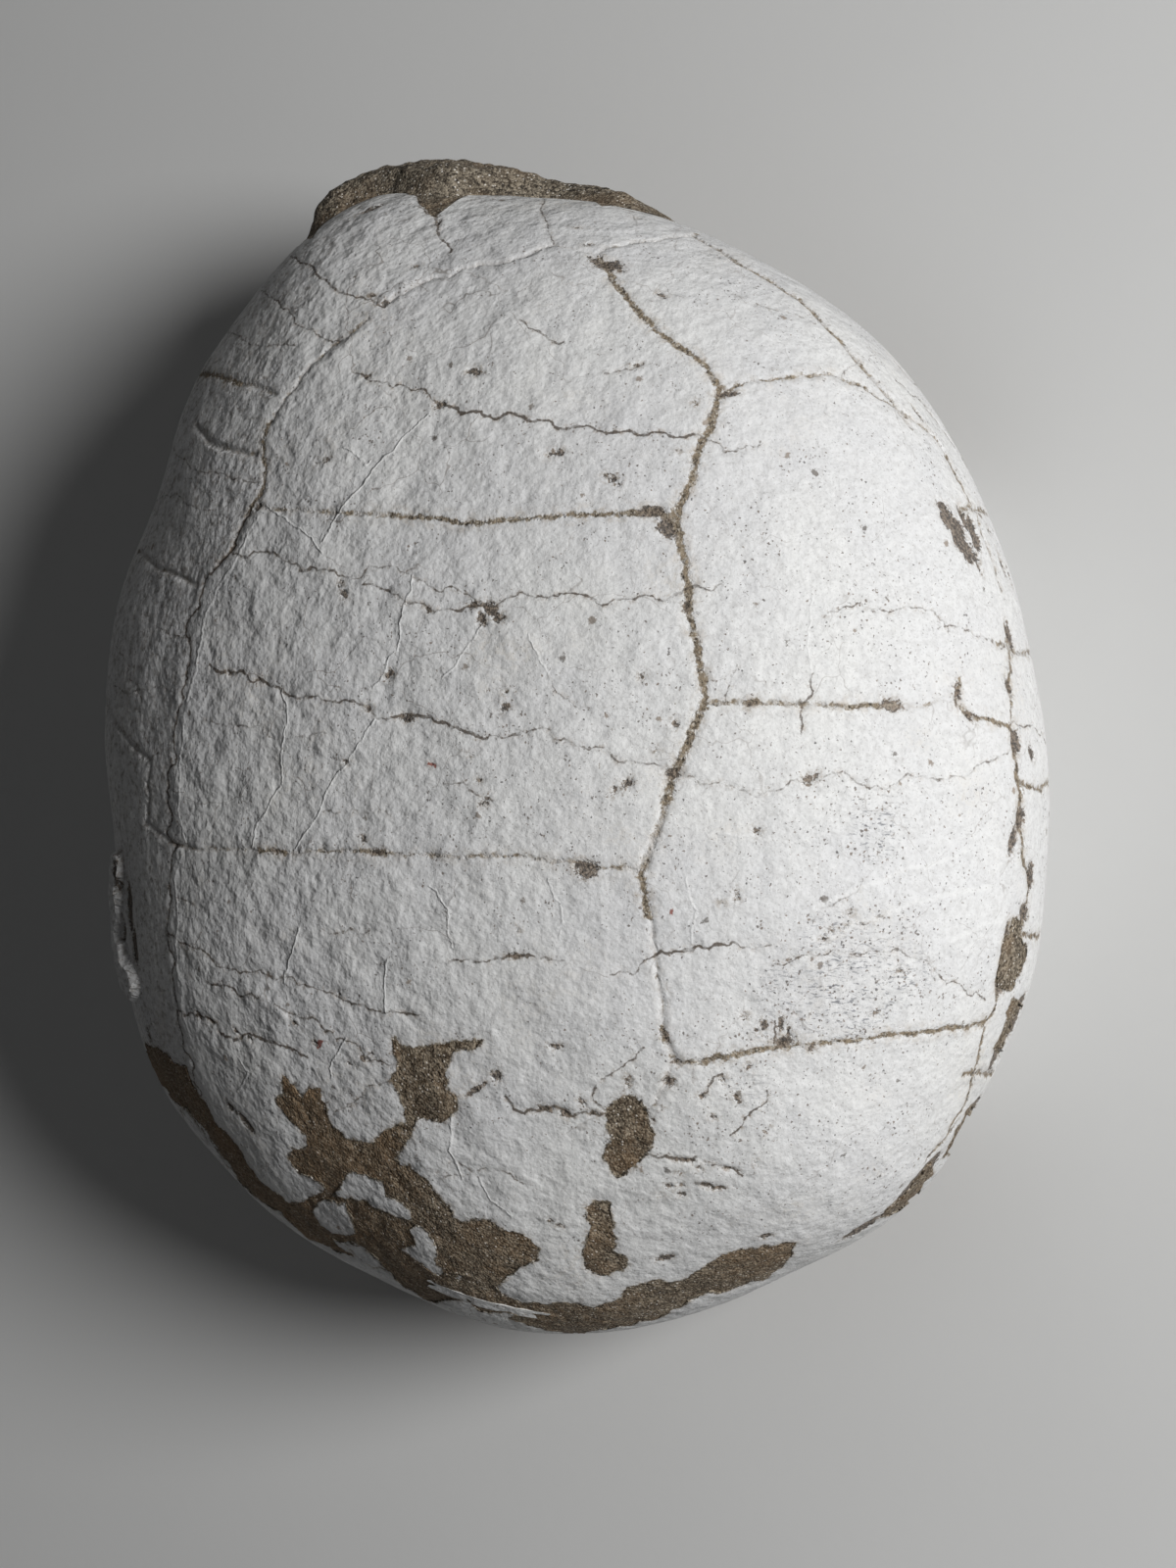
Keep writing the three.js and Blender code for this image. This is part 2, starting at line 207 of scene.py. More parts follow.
def seen(points, amount, closed=False):
    return base.ways_seen(wander(points, amount, LINE_STEP, closed))


def chart(points, amount, belly=False):
    line = wander(points, amount, CHART_STEP)
    polar = np.radians(np.hypot(line[:, 0], line[:, 1]))
    return directions(np.arctan2(line[:, 1], line[:, 0]), np.pi - polar if belly else polar)


class Lines:
    """Polylines on the surface, each with values of its own, for the distance to the nearest."""

    def __init__(self, count):
        self.starts, self.ends, self.values = [], [], np.empty((0, count))

    def add(self, ways, *values):
        points = surface(*angles(ways))
        self.starts.append(points[:-1])
        self.ends.append(points[1:])
        self.values = np.concatenate([self.values, np.tile(values, (len(points) - 1, 1))])

    def close(self):
        self.starts, self.ends = np.concatenate(self.starts), np.concatenate(self.ends)
        self.along = unit(self.ends - self.starts + 1e-9)
        self.length = np.linalg.norm(self.ends - self.starts, axis=1)
        self.tree = tree_of((self.starts + self.ends) / 2)

    def near(self, points, normals):
        """For each point its distance, its distance to the side of the line, and the line's values."""
        nearest = nearest_in(self.tree, points)[0]
        apart = points - self.starts[nearest]
        along = self.along[nearest]
        run = np.clip((apart * along).sum(1), 0, self.length[nearest])
        distance = np.linalg.norm(apart - along * run[:, None], axis=1)
        side = (apart * np.cross(normals, along)).sum(1)
        return distance, side, self.values[nearest]


def tree_of(points):
    tree = KDTree(len(points))
    for i, point in enumerate(points):
        tree.insert(point, i)
    tree.balance()
    return tree


def nearest_in(tree, points):
    index, distance = np.empty(len(points), np.int64), np.empty(len(points))
    for i, point in enumerate(points.tolist()):
        _, index[i], distance[i] = tree.find(point)
    return index, distance


# The line along which the crown folds over into the left flank
FOLD = [(254, 519), (247, 535), (235, 562), (222, 577), (207, 600), (197, 625), (194, 652), (194, 675),
        (185, 705),
        (179, 740), (174, 802), (180, 862), (172, 900), (171, 952), (177, 1008), (187, 1065), (205, 1117)]

# The sulci: (width in pixels, brown fill from 0 to 1, depth in mm, pixels)
SULCI = [
    # between the vertebral and the costal scutes, on the right
    (7, 0.9, 0.7, [(610, 260), (625, 285), (640, 305), (665, 330), (690, 352), (720, 372), (735, 395)]),
    (9, 1.0, 0.8, [(735, 395), (728, 425), (717, 448), (707, 486), (692, 517)]),
    (9, 1.0, 0.8, [(692, 517), (692, 542), (700, 583), (703, 619), (711, 657), (717, 695), (718, 716)]),
    (10, 1.0, 0.8, [(718, 716), (709, 741), (697, 769), (688, 789), (678, 820)]),
    (8, 0.45, 0.8, [(678, 820), (667, 855), (654, 888)]),
    (8, 1.0, 0.8, [(654, 888), (658, 916), (664, 938)]),
    (4, 0.25, 0.5, [(664, 938), (669, 977), (674, 1015), (676, 1046)]),
    (7, 1.0, 0.6, [(675, 1048), (679, 1062)]),
    (4, 0.3, 0.4, [(679, 1062), (687, 1077), (691, 1087)]),
    (4, 0.1, 0.3, [(687, 1082), (678, 1110), (662, 1135), (650, 1150)]),
    # and on the left, where the crown folds over into the flank
    (4, 0.35, 0.5, [(375, 324), (360, 338), (333, 357), (307, 383), (287, 413), (275, 432)]),
    (6, 0.85, 0.5, [(275, 432), (270, 440), (267, 465), (266, 504), (254, 519)]),
    (3, 0.75, 0.4, [(254, 519), (247, 535), (235, 562), (222, 577)]),
    # between the vertebral scutes
    (5, 0.5, 0.5, [(262, 515), (310, 520), (360, 523), (400, 525)]),
    (6, 0.9, 0.5, [(400, 525), (430, 527), (530, 529), (570, 526), (610, 524), (640, 523)]),
    (9, 1.0, 0.6, [(640, 523), (662, 521), (685, 530)]),
    (4, 0.4, 0.4, [(179, 862), (225, 866), (262, 869)]),
    (5, 0.85, 0.4, [(262, 869), (280, 869), (292, 870)]),
    (4, 0.45, 0.4, [(292, 870), (340, 869), (366, 869)]),
    (6, 0.85, 0.4, [(366, 869), (380, 870), (400, 870)]),
    (4, 0.5, 0.4, [(400, 870), (430, 871), (520, 874), (580, 877), (598, 884), (640, 884), (654, 890)]),
    (5, 0.1, 0.5, [(392, 311), (416, 296), (444, 283), (472, 273), (513, 268), (539, 260), (564, 250),
                   (602, 257), (612, 262)]),
    (4, 0.2, 0.4, [(610, 258), (630, 250), (650, 245), (680, 241), (710, 238)]),
    # between the costal scutes
    (4, 0.55, 0.4, [(735, 400), (758, 390), (781, 387), (809, 384), (851, 381), (882, 393), (915, 415)]),
    (5, 0.5, 0.4, [(718, 716), (730, 716), (760, 717)]),
    (7, 0.9, 0.4, [(758, 717), (775, 717)]),
    (5, 0.5, 0.4, [(775, 717), (800, 717), (825, 718), (850, 719)]),
    (6, 0.9, 0.4, [(850, 719), (880, 720), (898, 719)]),
    (4, 0.25, 0.3, [(905, 719), (930, 720), (955, 716)]),
    (5, 0.9, 0.4, [(980, 694), (978, 708), (977, 718), (985, 727), (1000, 732), (1022, 738), (1031, 742)]),
    (5, 0.5, 0.5, [(691, 1087), (705, 1084), (716, 1083)]),
    (7, 0.95, 0.5, [(716, 1083), (740, 1078), (765, 1074), (790, 1070), (800, 1066)]),
    (5, 0.7, 0.5, [(800, 1068), (820, 1066), (850, 1063), (890, 1060)]),
    (6, 0.85, 0.5, [(890, 1060), (925, 1056), (945, 1053), (970, 1048), (1005, 1044)]),
    # between the costal and the marginal scutes, on the right
    (4, 0.5, 0.5, [(915, 415), (935, 429), (952, 443), (966, 463)]),
    (5, 0.8, 0.5, [(966, 463), (975, 480), (983, 496), (993, 515)]),
    (4, 0.5, 0.4, [(993, 515), (1000, 533), (1010, 560), (1022, 600)]),
    (6, 0.9, 0.5, [(1027, 640), (1031, 665), (1031, 690), (1032, 705)]),
    (4, 0.5, 0.4, [(1032, 705), (1033, 720), (1032, 742)]),
    (7, 0.9, 0.6, [(1031, 742), (1035, 770), (1038, 800), (1040, 840), (1043, 870)]),
    (7, 0.95, 0.6, [(1043, 870), (1050, 895), (1048, 920), (1045, 935)]),
    (5, 0.8, 0.5, [(1030, 945), (1025, 975), (1018, 1010), (1005, 1045)]),
    (5, 0.8, 0.5, [(1005, 1045), (1000, 1070), (990, 1110), (975, 1140), (955, 1170)]),
    # on the left flank
    (7, 0.85, 0.6, [(203, 382), (214, 383), (225, 384), (247, 392)]),
    (5, 0.4, 0.5, [(247, 392), (265, 395), (280, 402)]),
    (6, 0.2, 0.7, [(200, 433), (212, 450), (227, 457), (260, 463)]),
    (5, 0.25, 0.5, [(141, 562), (160, 580), (200, 597)]),
    (5, 0.2, 0.5, [(110, 720), (128, 750), (152, 775), (150, 800), (148, 840), (172, 857)]),
]
# Sulci of the sides that the photograph doesn't show: chart points
HIDDEN_SULCI = [
    [(-66, 46), (-76, 36), (-83, 20), (-85, 4), (-84, -14), (-79, -30), (-72, -46)],
    [(-58, 5), (-72, 7), (-85, 8)],
    [(-54, -30), (-68, -32), (-79, -30)],
    [(24, 77), (42, 68), (59, 54), (62, 52)],
]
MARGINAL_AZIMUTHS = (-30, -15, 0, 15, 30, 152, 166, 180, 194, 208)
MARGINAL_POLARS = (84, 108)
BELLY_SULCI = [
    [(0, -46), (0, -12), (2, 0), (0, 46)],
    [(-24, -44), (0, -34), (24, -44)],
    [(-52, -22), (-20, -19), (20, -19), (52, -22)],
    [(-54, 14), (-20, 11), (20, 11), (54, 14)],
    [(-26, 40), (0, 33), (26, 40)],
]

# Sutures and cracks, and along the fold a dark line that is partly crack and partly painted shadow of the
# fold's step: (width in pixels, darkness from 0 to 1, pixels)
CRACKS_AND_FOLD_SHADOW = [
    # Along the fold: painted shadow of the step where the flank drops, drawn as a dark crack line
    (2.6, 1.0, FOLD[:6]),
    (2.2, 1.0, FOLD[5:12]),
    (2.2, 0.8, FOLD[11:]),
    (2.2, 0.8, [(297, 262), (325, 282), (340, 293), (355, 300), (375, 306), (392, 313)]),
    (1.6, 0.6, [(267, 297), (287, 313), (307, 333), (327, 343), (347, 345)]),
    (2.4, 0.8, [(429, 212), (445, 222), (447, 236), (452, 246), (460, 256)]),
    (1.6, 0.6, [(556, 204), (557, 225), (564, 247)]),
    (1.8, 0.7, [(360, 380), (372, 385), (400, 395), (430, 397), (447, 414)]),
    (3.0, 0.9, [(447, 414), (470, 422), (500, 424), (518, 421), (532, 425)]),
    (2.4, 0.8, [(532, 425), (545, 430), (576, 437), (600, 433), (640, 438), (665, 440), (685, 445),
                (707, 442)]),
    (1.4, 0.5, [(707, 442), (720, 447), (760, 455), (775, 452)]),
    (2.2, 0.7, [(240, 565), (265, 563), (290, 572), (305, 582), (325, 583), (350, 588)]),
    (1.8, 0.6, [(370, 596), (395, 602), (415, 615), (440, 622), (463, 622)]),
    (1.5, 0.6, [(350, 588), (395, 577), (420, 590), (440, 598), (465, 600), (485, 612), (515, 610),
                (545, 608)]),
    (1.8, 0.6, [(545, 608), (590, 606), (640, 610), (680, 612), (700, 600), (735, 596)]),
    (3.0, 0.9, [(463, 622), (480, 618), (500, 622), (512, 630)]),
    (2.8, 0.8, [(215, 680), (230, 684), (255, 695), (275, 700)]),
    (2.2, 0.7, [(275, 700), (290, 708), (318, 711), (345, 717), (375, 722), (400, 732)]),
    (2.8, 0.8, [(400, 732), (425, 730), (445, 738), (470, 745), (500, 750)]),
    (1.5, 0.5, [(500, 750), (540, 748), (580, 758), (620, 765), (650, 778), (680, 786)]),
    (1.8, 0.7, [(172, 952), (193, 964), (216, 977), (246, 993), (282, 1000), (310, 1005), (341, 1015),
                (361, 1024), (389, 1035), (425, 1036)]),
    (2.2, 0.7, [(213, 1003), (244, 1017), (259, 1014)]),
    (1.8, 0.6, [(284, 1026), (305, 1038), (338, 1052), (361, 1064), (381, 1082), (402, 1088)]),
    (2.8, 0.8, [(182, 1029), (203, 1036), (223, 1044), (249, 1056), (284, 1066), (312, 1077)]),
    (1.5, 0.5, [(170, 908), (184, 917), (198, 924)]),
    (1.5, 0.5, [(330, 949), (352, 951), (376, 950)]),
    (1.6, 0.5, [(459, 982), (498, 982), (516, 977)]),
    (3.2, 0.9, [(514, 978), (526, 975), (541, 974)]),
    (1.6, 0.5, [(541, 974), (556, 977), (572, 980)]),
    (1.6, 0.6, [(625, 995), (643, 995), (653, 985), (669, 975)]),
    (2.8, 0.8, [(669, 975), (690, 971), (717, 967), (732, 963), (748, 961)]),
    (1.6, 0.5, [(748, 961), (770, 967), (784, 965)]),
    (2.6, 0.9, [(517, 1122), (522, 1131), (530, 1135), (543, 1133), (558, 1132), (577, 1138), (600, 1137),
                (620, 1135)]),
    (1.6, 0.6, [(620, 1135), (610, 1128), (604, 1118), (622, 1098), (640, 1084), (655, 1071)]),
    (1.4, 0.5, [(300, 1135), (316, 1128), (340, 1118), (352, 1128), (365, 1122)]),
    (2.0, 0.6, [(533, 328), (545, 336), (560, 347), (572, 350)]),
    (1.5, 0.5, [(840, 631), (856, 624), (866, 618), (883, 614), (893, 621), (929, 618), (949, 622),
                (960, 632), (969, 645)]),
    (1.8, 0.6, [(829, 690), (828, 710), (819, 722), (819, 745)]),
    (1.4, 0.4, [(690, 790), (720, 800), (760, 806), (800, 804), (820, 798)]),
    (1.4, 0.4, [(840, 795), (880, 800), (920, 796), (955, 793), (990, 790), (1030, 765)]),
    (1.4, 0.5, [(790, 985), (830, 975), (860, 972), (905, 972), (945, 980), (975, 1001), (1005, 1020)]),
    (1.8, 0.6, [(975, 700), (977, 720)]),
    (1.6, 0.5, [(740, 715), (745, 698), (752, 680)]),
    (1.6, 0.5, [(660, 1178), (680, 1181)]),
    (3.4, 0.9, [(680, 1180), (690, 1182), (700, 1185), (711, 1181)]),
    (1.5, 0.5, [(711, 1181), (722, 1186), (739, 1193)]),
    (2.6, 0.9, [(739, 1192), (747, 1193), (755, 1198)]),
    (3.0, 0.9, [(714, 1208), (722, 1210), (728, 1213), (737, 1212)]),
    (1.6, 0.9, [(716, 1118), (724, 1108), (734, 1097)]),
    (1.4, 0.8, [(748, 1156), (757, 1148), (770, 1132), (783, 1114)]),
    (2.0, 0.9, [(791, 1046), (792, 1056), (791, 1062)]),
    (1.4, 0.4, [(152, 775), (160, 768), (172, 765)]),
    (1.4, 0.5, [(165, 506), (185, 512), (205, 520), (230, 528)]),
    (1.4, 0.5, [(160, 640), (172, 648), (190, 652)]),
    (1.4, 0.4, [(118, 700), (140, 704), (165, 700), (182, 706)]),
    (1.4, 0.4, [(120, 660), (130, 690), (140, 704), (146, 730)]),
    (1.4, 0.5, [(176, 455), (190, 470), (207, 482), (232, 486), (262, 492)]),
    (1.5, 0.5, [(230, 340), (250, 348), (275, 352), (300, 352)]),
    (1.6, 0.5, [(620, 380), (640, 375), (655, 371)]),
    (1.4, 0.4, [(250, 740), (270, 748), (300, 752), (330, 748)]),
    (1.4, 0.4, [(205, 735), (228, 742), (250, 740)]),
    (1.4, 0.4, [(330, 828), (350, 833), (375, 830), (400, 834)]),
    (1.3, 0.4, [(455, 800), (478, 805), (500, 815)]),
    (1.3, 0.4, [(560, 690), (575, 712), (598, 722)]),
    (1.4, 0.4, [(830, 940), (850, 925), (868, 915), (880, 900)]),
    (1.4, 0.4, [(960, 640), (985, 642), (1010, 652), (1026, 660)]),
    (1.3, 0.4, [(860, 385), (872, 372), (880, 366)]),
    (1.3, 0.4, [(750, 300), (770, 312), (800, 318), (830, 330)]),
    (1.3, 0.3, [(640, 213), (650, 240)]),
    (1.3, 0.4, [(457, 1190), (480, 1196), (510, 1195), (545, 1212)]),
    (1.3, 0.4, [(424, 1182), (440, 1196), (470, 1200)]),
    (1.5, 0.6, [(400, 1105), (375, 1108), (365, 1122), (352, 1130), (340, 1138)]),
]
HIDDEN_CRACKS = [
    [(-60, 20), (-68, 24), (-75, 23), (-84, 26), (-96, 27)],
    [(-62, -8), (-70, -11), (-80, -9), (-92, -11), (-101, -10)],
    [(-58, -46), (-66, -50), (-74, -57), (-80, -66)],
    [(82, 8), (90, 10), (98, 8), (106, 10)],
    [(80, -46), (86, -50), (92, -52), (99, -56)],
    [(60, 70), (68, 72), (76, 70)],
    [(-80, 60), (-88, 62), (-97, 60)],
    [(60, 62), (72, 60), (80, 58), (88, 60)],
    [(-92, -30), (-98, -31), (-106, -34)],
]
BELLY_CRACKS = [
    [(-52, -4), (-38, -2), (-22, -5), (-8, -3), (2, -4), (18, -1), (36, -4), (53, -2)],
    [(4, 44), (10, 34), (8, 22), (13, 11)],
    [(-18, -44), (-14, -34), (-17, -26), (-12, -19)],
    [(24, -19), (28, -30), (36, -34), (38, -42)],
    [(-40, 14), (-36, 24), (-42, 32)],
    [(30, 11), (28, 4), (33, -3)],
]

# Thin raised ridges: (width in pixels, pixels)
RIDGES = [
    (4, [(353, 457), (373, 473), (377, 483), (368, 497), (353, 513), (340, 532), (330, 550)]),
    (3, [(435, 425), (420, 438), (410, 447), (392, 466), (377, 483)]),
    (3, [(273, 517), (290, 527), (307, 540), (318, 550), (327, 563)]),
    (3, [(287, 707), (288, 750), (287, 800), (270, 830), (257, 862)]),
    (3, [(380, 737), (362, 765), (343, 790), (330, 815), (320, 837), (300, 867)]),
    (3, [(395, 980), (392, 1005), (393, 1030)]),
    (3, [(305, 950), (298, 972), (290, 1000)]),
    (7, [(388, 325), (347, 358), (318, 388), (297, 416), (282, 440), (278, 470)]),
    (6, [(262, 530), (248, 557), (238, 575), (220, 602), (208, 630), (203, 662), (201, 682), (192, 712)]),
    (6, [(187, 745), (184, 772), (183, 824), (189, 856)]),
    (6, [(180, 890), (180, 918), (181, 952), (187, 1006), (195, 1056)]),
    (3, [(338, 1100), (340, 1080), (352, 1062)]),
    (3, [(246, 1080), (256, 1092), (244, 1112)]),
    (4, [(700, 900), (712, 930), (706, 960)]),
    (9, [(690, 625), (664, 645), (650, 668), (644, 690)]),
    (10, [(812, 985), (850, 955), (900, 935), (960, 915), (1010, 905)]),
    (8, [(880, 1000), (930, 980), (980, 955), (1020, 940)]),
    (8, [(830, 930), (880, 905), (930, 885), (985, 870)]),
    (6, [(700, 860), (740, 850), (790, 858), (840, 850)]),
    (3, [(490, 640), (470, 668), (452, 690)]),
    (3, [(540, 650), (552, 676), (560, 690)]),
    (3, [(420, 590), (408, 630), (398, 668), (380, 700)]),
    (3, [(440, 905), (460, 930), (462, 970)]),
    (3, [(560, 900), (572, 925), (570, 955)]),
    (3, [(830, 600), (826, 640), (829, 690)]),
    (4, [(460, 1140), (458, 1175), (470, 1200)]),
    (3, [(490, 1205), (500, 1225), (520, 1240)]),
]

# Bone that stands proud: (height and half width in mm, pixels)
LEDGES = [
    (1.7, 3.6, [(122, 888), (122, 915), (122, 945), (125, 970), (130, 990), (135, 1002)]),
    (0.25, 1.0, [(262, 1016), (277, 1026), (290, 1034)]),
]

# Sand in pits: (x, y, half length, half width in pixels, turn in degrees)
SPOTS = [
    (622, 270, 13, 9, 30), (680, 538, 11, 8, 60), (664, 521, 15, 6, 0), (687, 789, 8, 6, 0),
    (598, 887, 11, 9, 0), (590, 884, 5, 6, 0), (380, 214, 8, 6, 10), (485, 379, 9, 5, 20),
    (568, 461, 7, 4, 10), (560, 463, 3, 3, 0), (625, 488, 6, 4, 0), (630, 493, 4, 3, 0), (618, 484, 3, 2, 0),
    (333, 469, 5, 3, 0), (323, 473, 2, 2, 0), (448, 413, 6, 5, 20), (500, 621, 9, 7, 40),
    (492, 632, 8, 5, 60), (508, 630, 6, 5, 0), (482, 617, 7, 3, 0), (350, 606, 6, 4, 40),
    (346, 596, 4, 3, 80), (437, 622, 6, 3, 30), (396, 688, 5, 6, 90), (515, 722, 5, 6, 70),
    (516, 706, 3, 2, 0), (413, 733, 9, 4, 10), (655, 690, 3, 3, 0), (690, 738, 4, 4, 0),
    (742, 401, 12, 4, -10), (766, 717, 6, 4, 0), (911, 719, 12, 6, 0), (826, 795, 5, 6, 60),
    (833, 792, 4, 3, -40), (773, 848, 4, 4, 0), (752, 914, 3, 5, 0), (736, 921, 3, 2, 0),
    (640, 799, 7, 4, -30), (627, 806, 3, 5, 20), (670, 766, 2, 2, 0), (495, 818, 6, 4, -30),
    (490, 796, 3, 2, 0), (480, 771, 3, 2, 0), (370, 856, 4, 5, 0), (352, 778, 4, 3, 0),
    (566, 1068, 8, 3, -8), (506, 1098, 6, 6, -40), (485, 1112, 16, 3, -36), (641, 1104, 4, 6, 0),
    (678, 1057, 4, 9, -20), (683, 1104, 6, 5, 40), (691, 1084, 5, 3, 0), (738, 1102, 4, 3, 80),
    (752, 1120, 5, 3, 50), (765, 1088, 3, 4, 0), (728, 1139, 4, 3, 60), (716, 1118, 3, 2, 0),
    (783, 1153, 2, 4, 20), (556, 1132, 8, 4, 0), (577, 1137, 6, 5, 60), (594, 1125, 5, 3, 60),
    (605, 1137, 4, 3, 0), (683, 1210, 4, 3, 0), (695, 1209, 3, 2, 0), (695, 1218, 4, 3, 0),
    (674, 1220, 2, 2, 0), (700, 1184, 9, 3, 8), (694, 1196, 3, 2, 0), (713, 1192, 4, 2, 30),
    (722, 1209, 6, 3, 25), (733, 1213, 8, 2, 0), (746, 1193, 8, 2, 30), (771, 1186, 2, 4, 0),
    (679, 1285, 9, 5, -38), (781, 1261, 7, 4, -15), (665, 1143, 3, 2, 0), (675, 1131, 2, 2, 0),
    (800, 1063, 11, 6, -20), (779, 1046, 4, 5, 20), (773, 1052, 4, 2, -30), (760, 1037, 3, 3, 0),
    (797, 1046, 3, 9, 0), (805, 1052, 2, 6, 10), (850, 951, 4, 3, 30), (862, 947, 6, 2, -20),
    (880, 943, 7, 2, 0), (899, 935, 5, 2, 0), (918, 990, 4, 3, 0), (868, 932, 3, 2, 0), (842, 958, 4, 2, 0),
    (895, 1033, 3, 2, 0), (828, 1070, 4, 4, 0), (345, 1015, 3, 2, 0), (300, 1043, 6, 2, 20),
    (322, 1064, 5, 3, 30), (263, 1018, 4, 2, 0), (371, 1081, 6, 3, 10), (357, 1086, 4, 2, 0),
    (378, 1075, 3, 2, 0), (204, 1036, 5, 3, 30), (216, 1041, 4, 3, 0), (243, 1052, 6, 2, 30),
    (256, 1059, 6, 2, 20), (525, 976, 9, 3, -6), (528, 948, 2, 2, 0), (280, 869, 7, 4, 0),
    (384, 870, 9, 4, 0), (650, 371, 7, 2, -5), (375, 383, 4, 3, 20), (414, 615, 3, 2, 0),
    (232, 686, 5, 3, 30), (262, 694, 4, 3, 0), (375, 722, 3, 4, 90), (207, 382, 6, 3, 0),
    (213, 380, 4, 3, 0), (262, 517, 5, 5, 0), (700, 618, 4, 7, 0), (979, 706, 4, 9, 0), (990, 730, 7, 4, 20),
    (1026, 582, 3, 4, 0), (938, 422, 7, 3, 35), (1031, 980, 32, 20, 95), (1035, 1040, 26, 16, 112),
    (1018, 1072, 12, 14, 140), (1040, 948, 12, 8, 160), (1028, 952, 8, 6, 60), (990, 1138, 22, 16, 118),
    (976, 1160, 10, 10, 130), (938, 1203, 34, 18, 130), (915, 1228, 14, 10, 140), (880, 1254, 24, 12, 150),
    (972, 1150, 8, 2, 125), (948, 1178, 7, 2, 130), (131, 925, 26, 9, 80), (136, 965, 16, 9, 70),
    (124, 892, 8, 7, 70), (126, 950, 9, 8, 80), (150, 1058, 8, 4, 60), (210, 1130, 6, 4, 40),
    (237, 1130, 8, 4, 10), (252, 1145, 12, 5, 30), (266, 1220, 8, 4, 50), (675, 300, 5, 3, 60),
    (610, 268, 12, 5, 60), (645, 215, 4, 2, 0), (650, 222, 4, 2, 20), (590, 232, 5, 2, 30),
    (963, 516, 7, 9, 70), (969, 529, 13, 13, 62), (980, 545, 14, 17, 50), (990, 563, 10, 13, 60),
    (985, 529, 8, 8, 20), (993, 538, 10, 11, 50), (998, 552, 9, 11, 60), (996, 567, 6, 8, 85),
    (1001, 580, 4, 3, 20), (1031, 648, 14, 7, 85), (1030, 700, 9, 6, 90), (1036, 757, 12, 10, 70),
    (1052, 769, 7, 8, 90), (1041, 835, 12, 10, 80), (1034, 857, 8, 12, 60), (1052, 893, 14, 10, 95),
    (1045, 931, 9, 12, 100), (1010, 541, 4, 3, 70), (1024, 578, 6, 4, 50), (1030, 586, 4, 3, 60),
    (600, 1262, 3, 3, 0), (561, 1246, 3, 2, 0), (571, 1252, 3, 3, 0), (629, 1140, 9, 4, 0),
    (447, 228, 3, 6, 0), (424, 272, 4, 2, 0), (392, 309, 5, 3, 20), (381, 302, 5, 2, 30),
    (600, 250, 5, 3, 0), (604, 266, 3, 3, 0), (632, 276, 5, 4, 0), (710, 411, 3, 3, 0), (694, 459, 2, 2, 0),
    (708, 470, 2, 2, 0), (440, 780, 3, 2, 0),
]
RUSTS = [(440, 780, 6, 2, 10), (687, 931, 3, 5, 0), (327, 1064, 3, 7, 40), (447, 784, 2, 3, 0)]

# Where fine black specks lie close: (x, y, radius in pixels, strength)
SPECKLED = [
    (870, 1010, 75, 1.0), (850, 960, 50, 0.8), (895, 845, 42, 0.9), (800, 1010, 40, 0.8),
    (925, 1000, 50, 0.8), (760, 1110, 60, 0.6), (640, 720, 45, 0.5), (520, 840, 60, 0.4),
    (620, 470, 35, 0.5), (905, 590, 60, 0.5), (930, 680, 50, 0.4), (690, 1150, 70, 0.4), (770, 560, 60, 0.3),
    (690, 850, 60, 0.3), (820, 870, 60, 0.3), (500, 720, 60, 0.4), (600, 830, 60, 0.4), (860, 1150, 80, 0.3),
    (780, 1050, 40, 0.6), (980, 860, 60, 0.3),
]

# --- Where the bone is missing: outlines in pixels --------------------------------------------------------

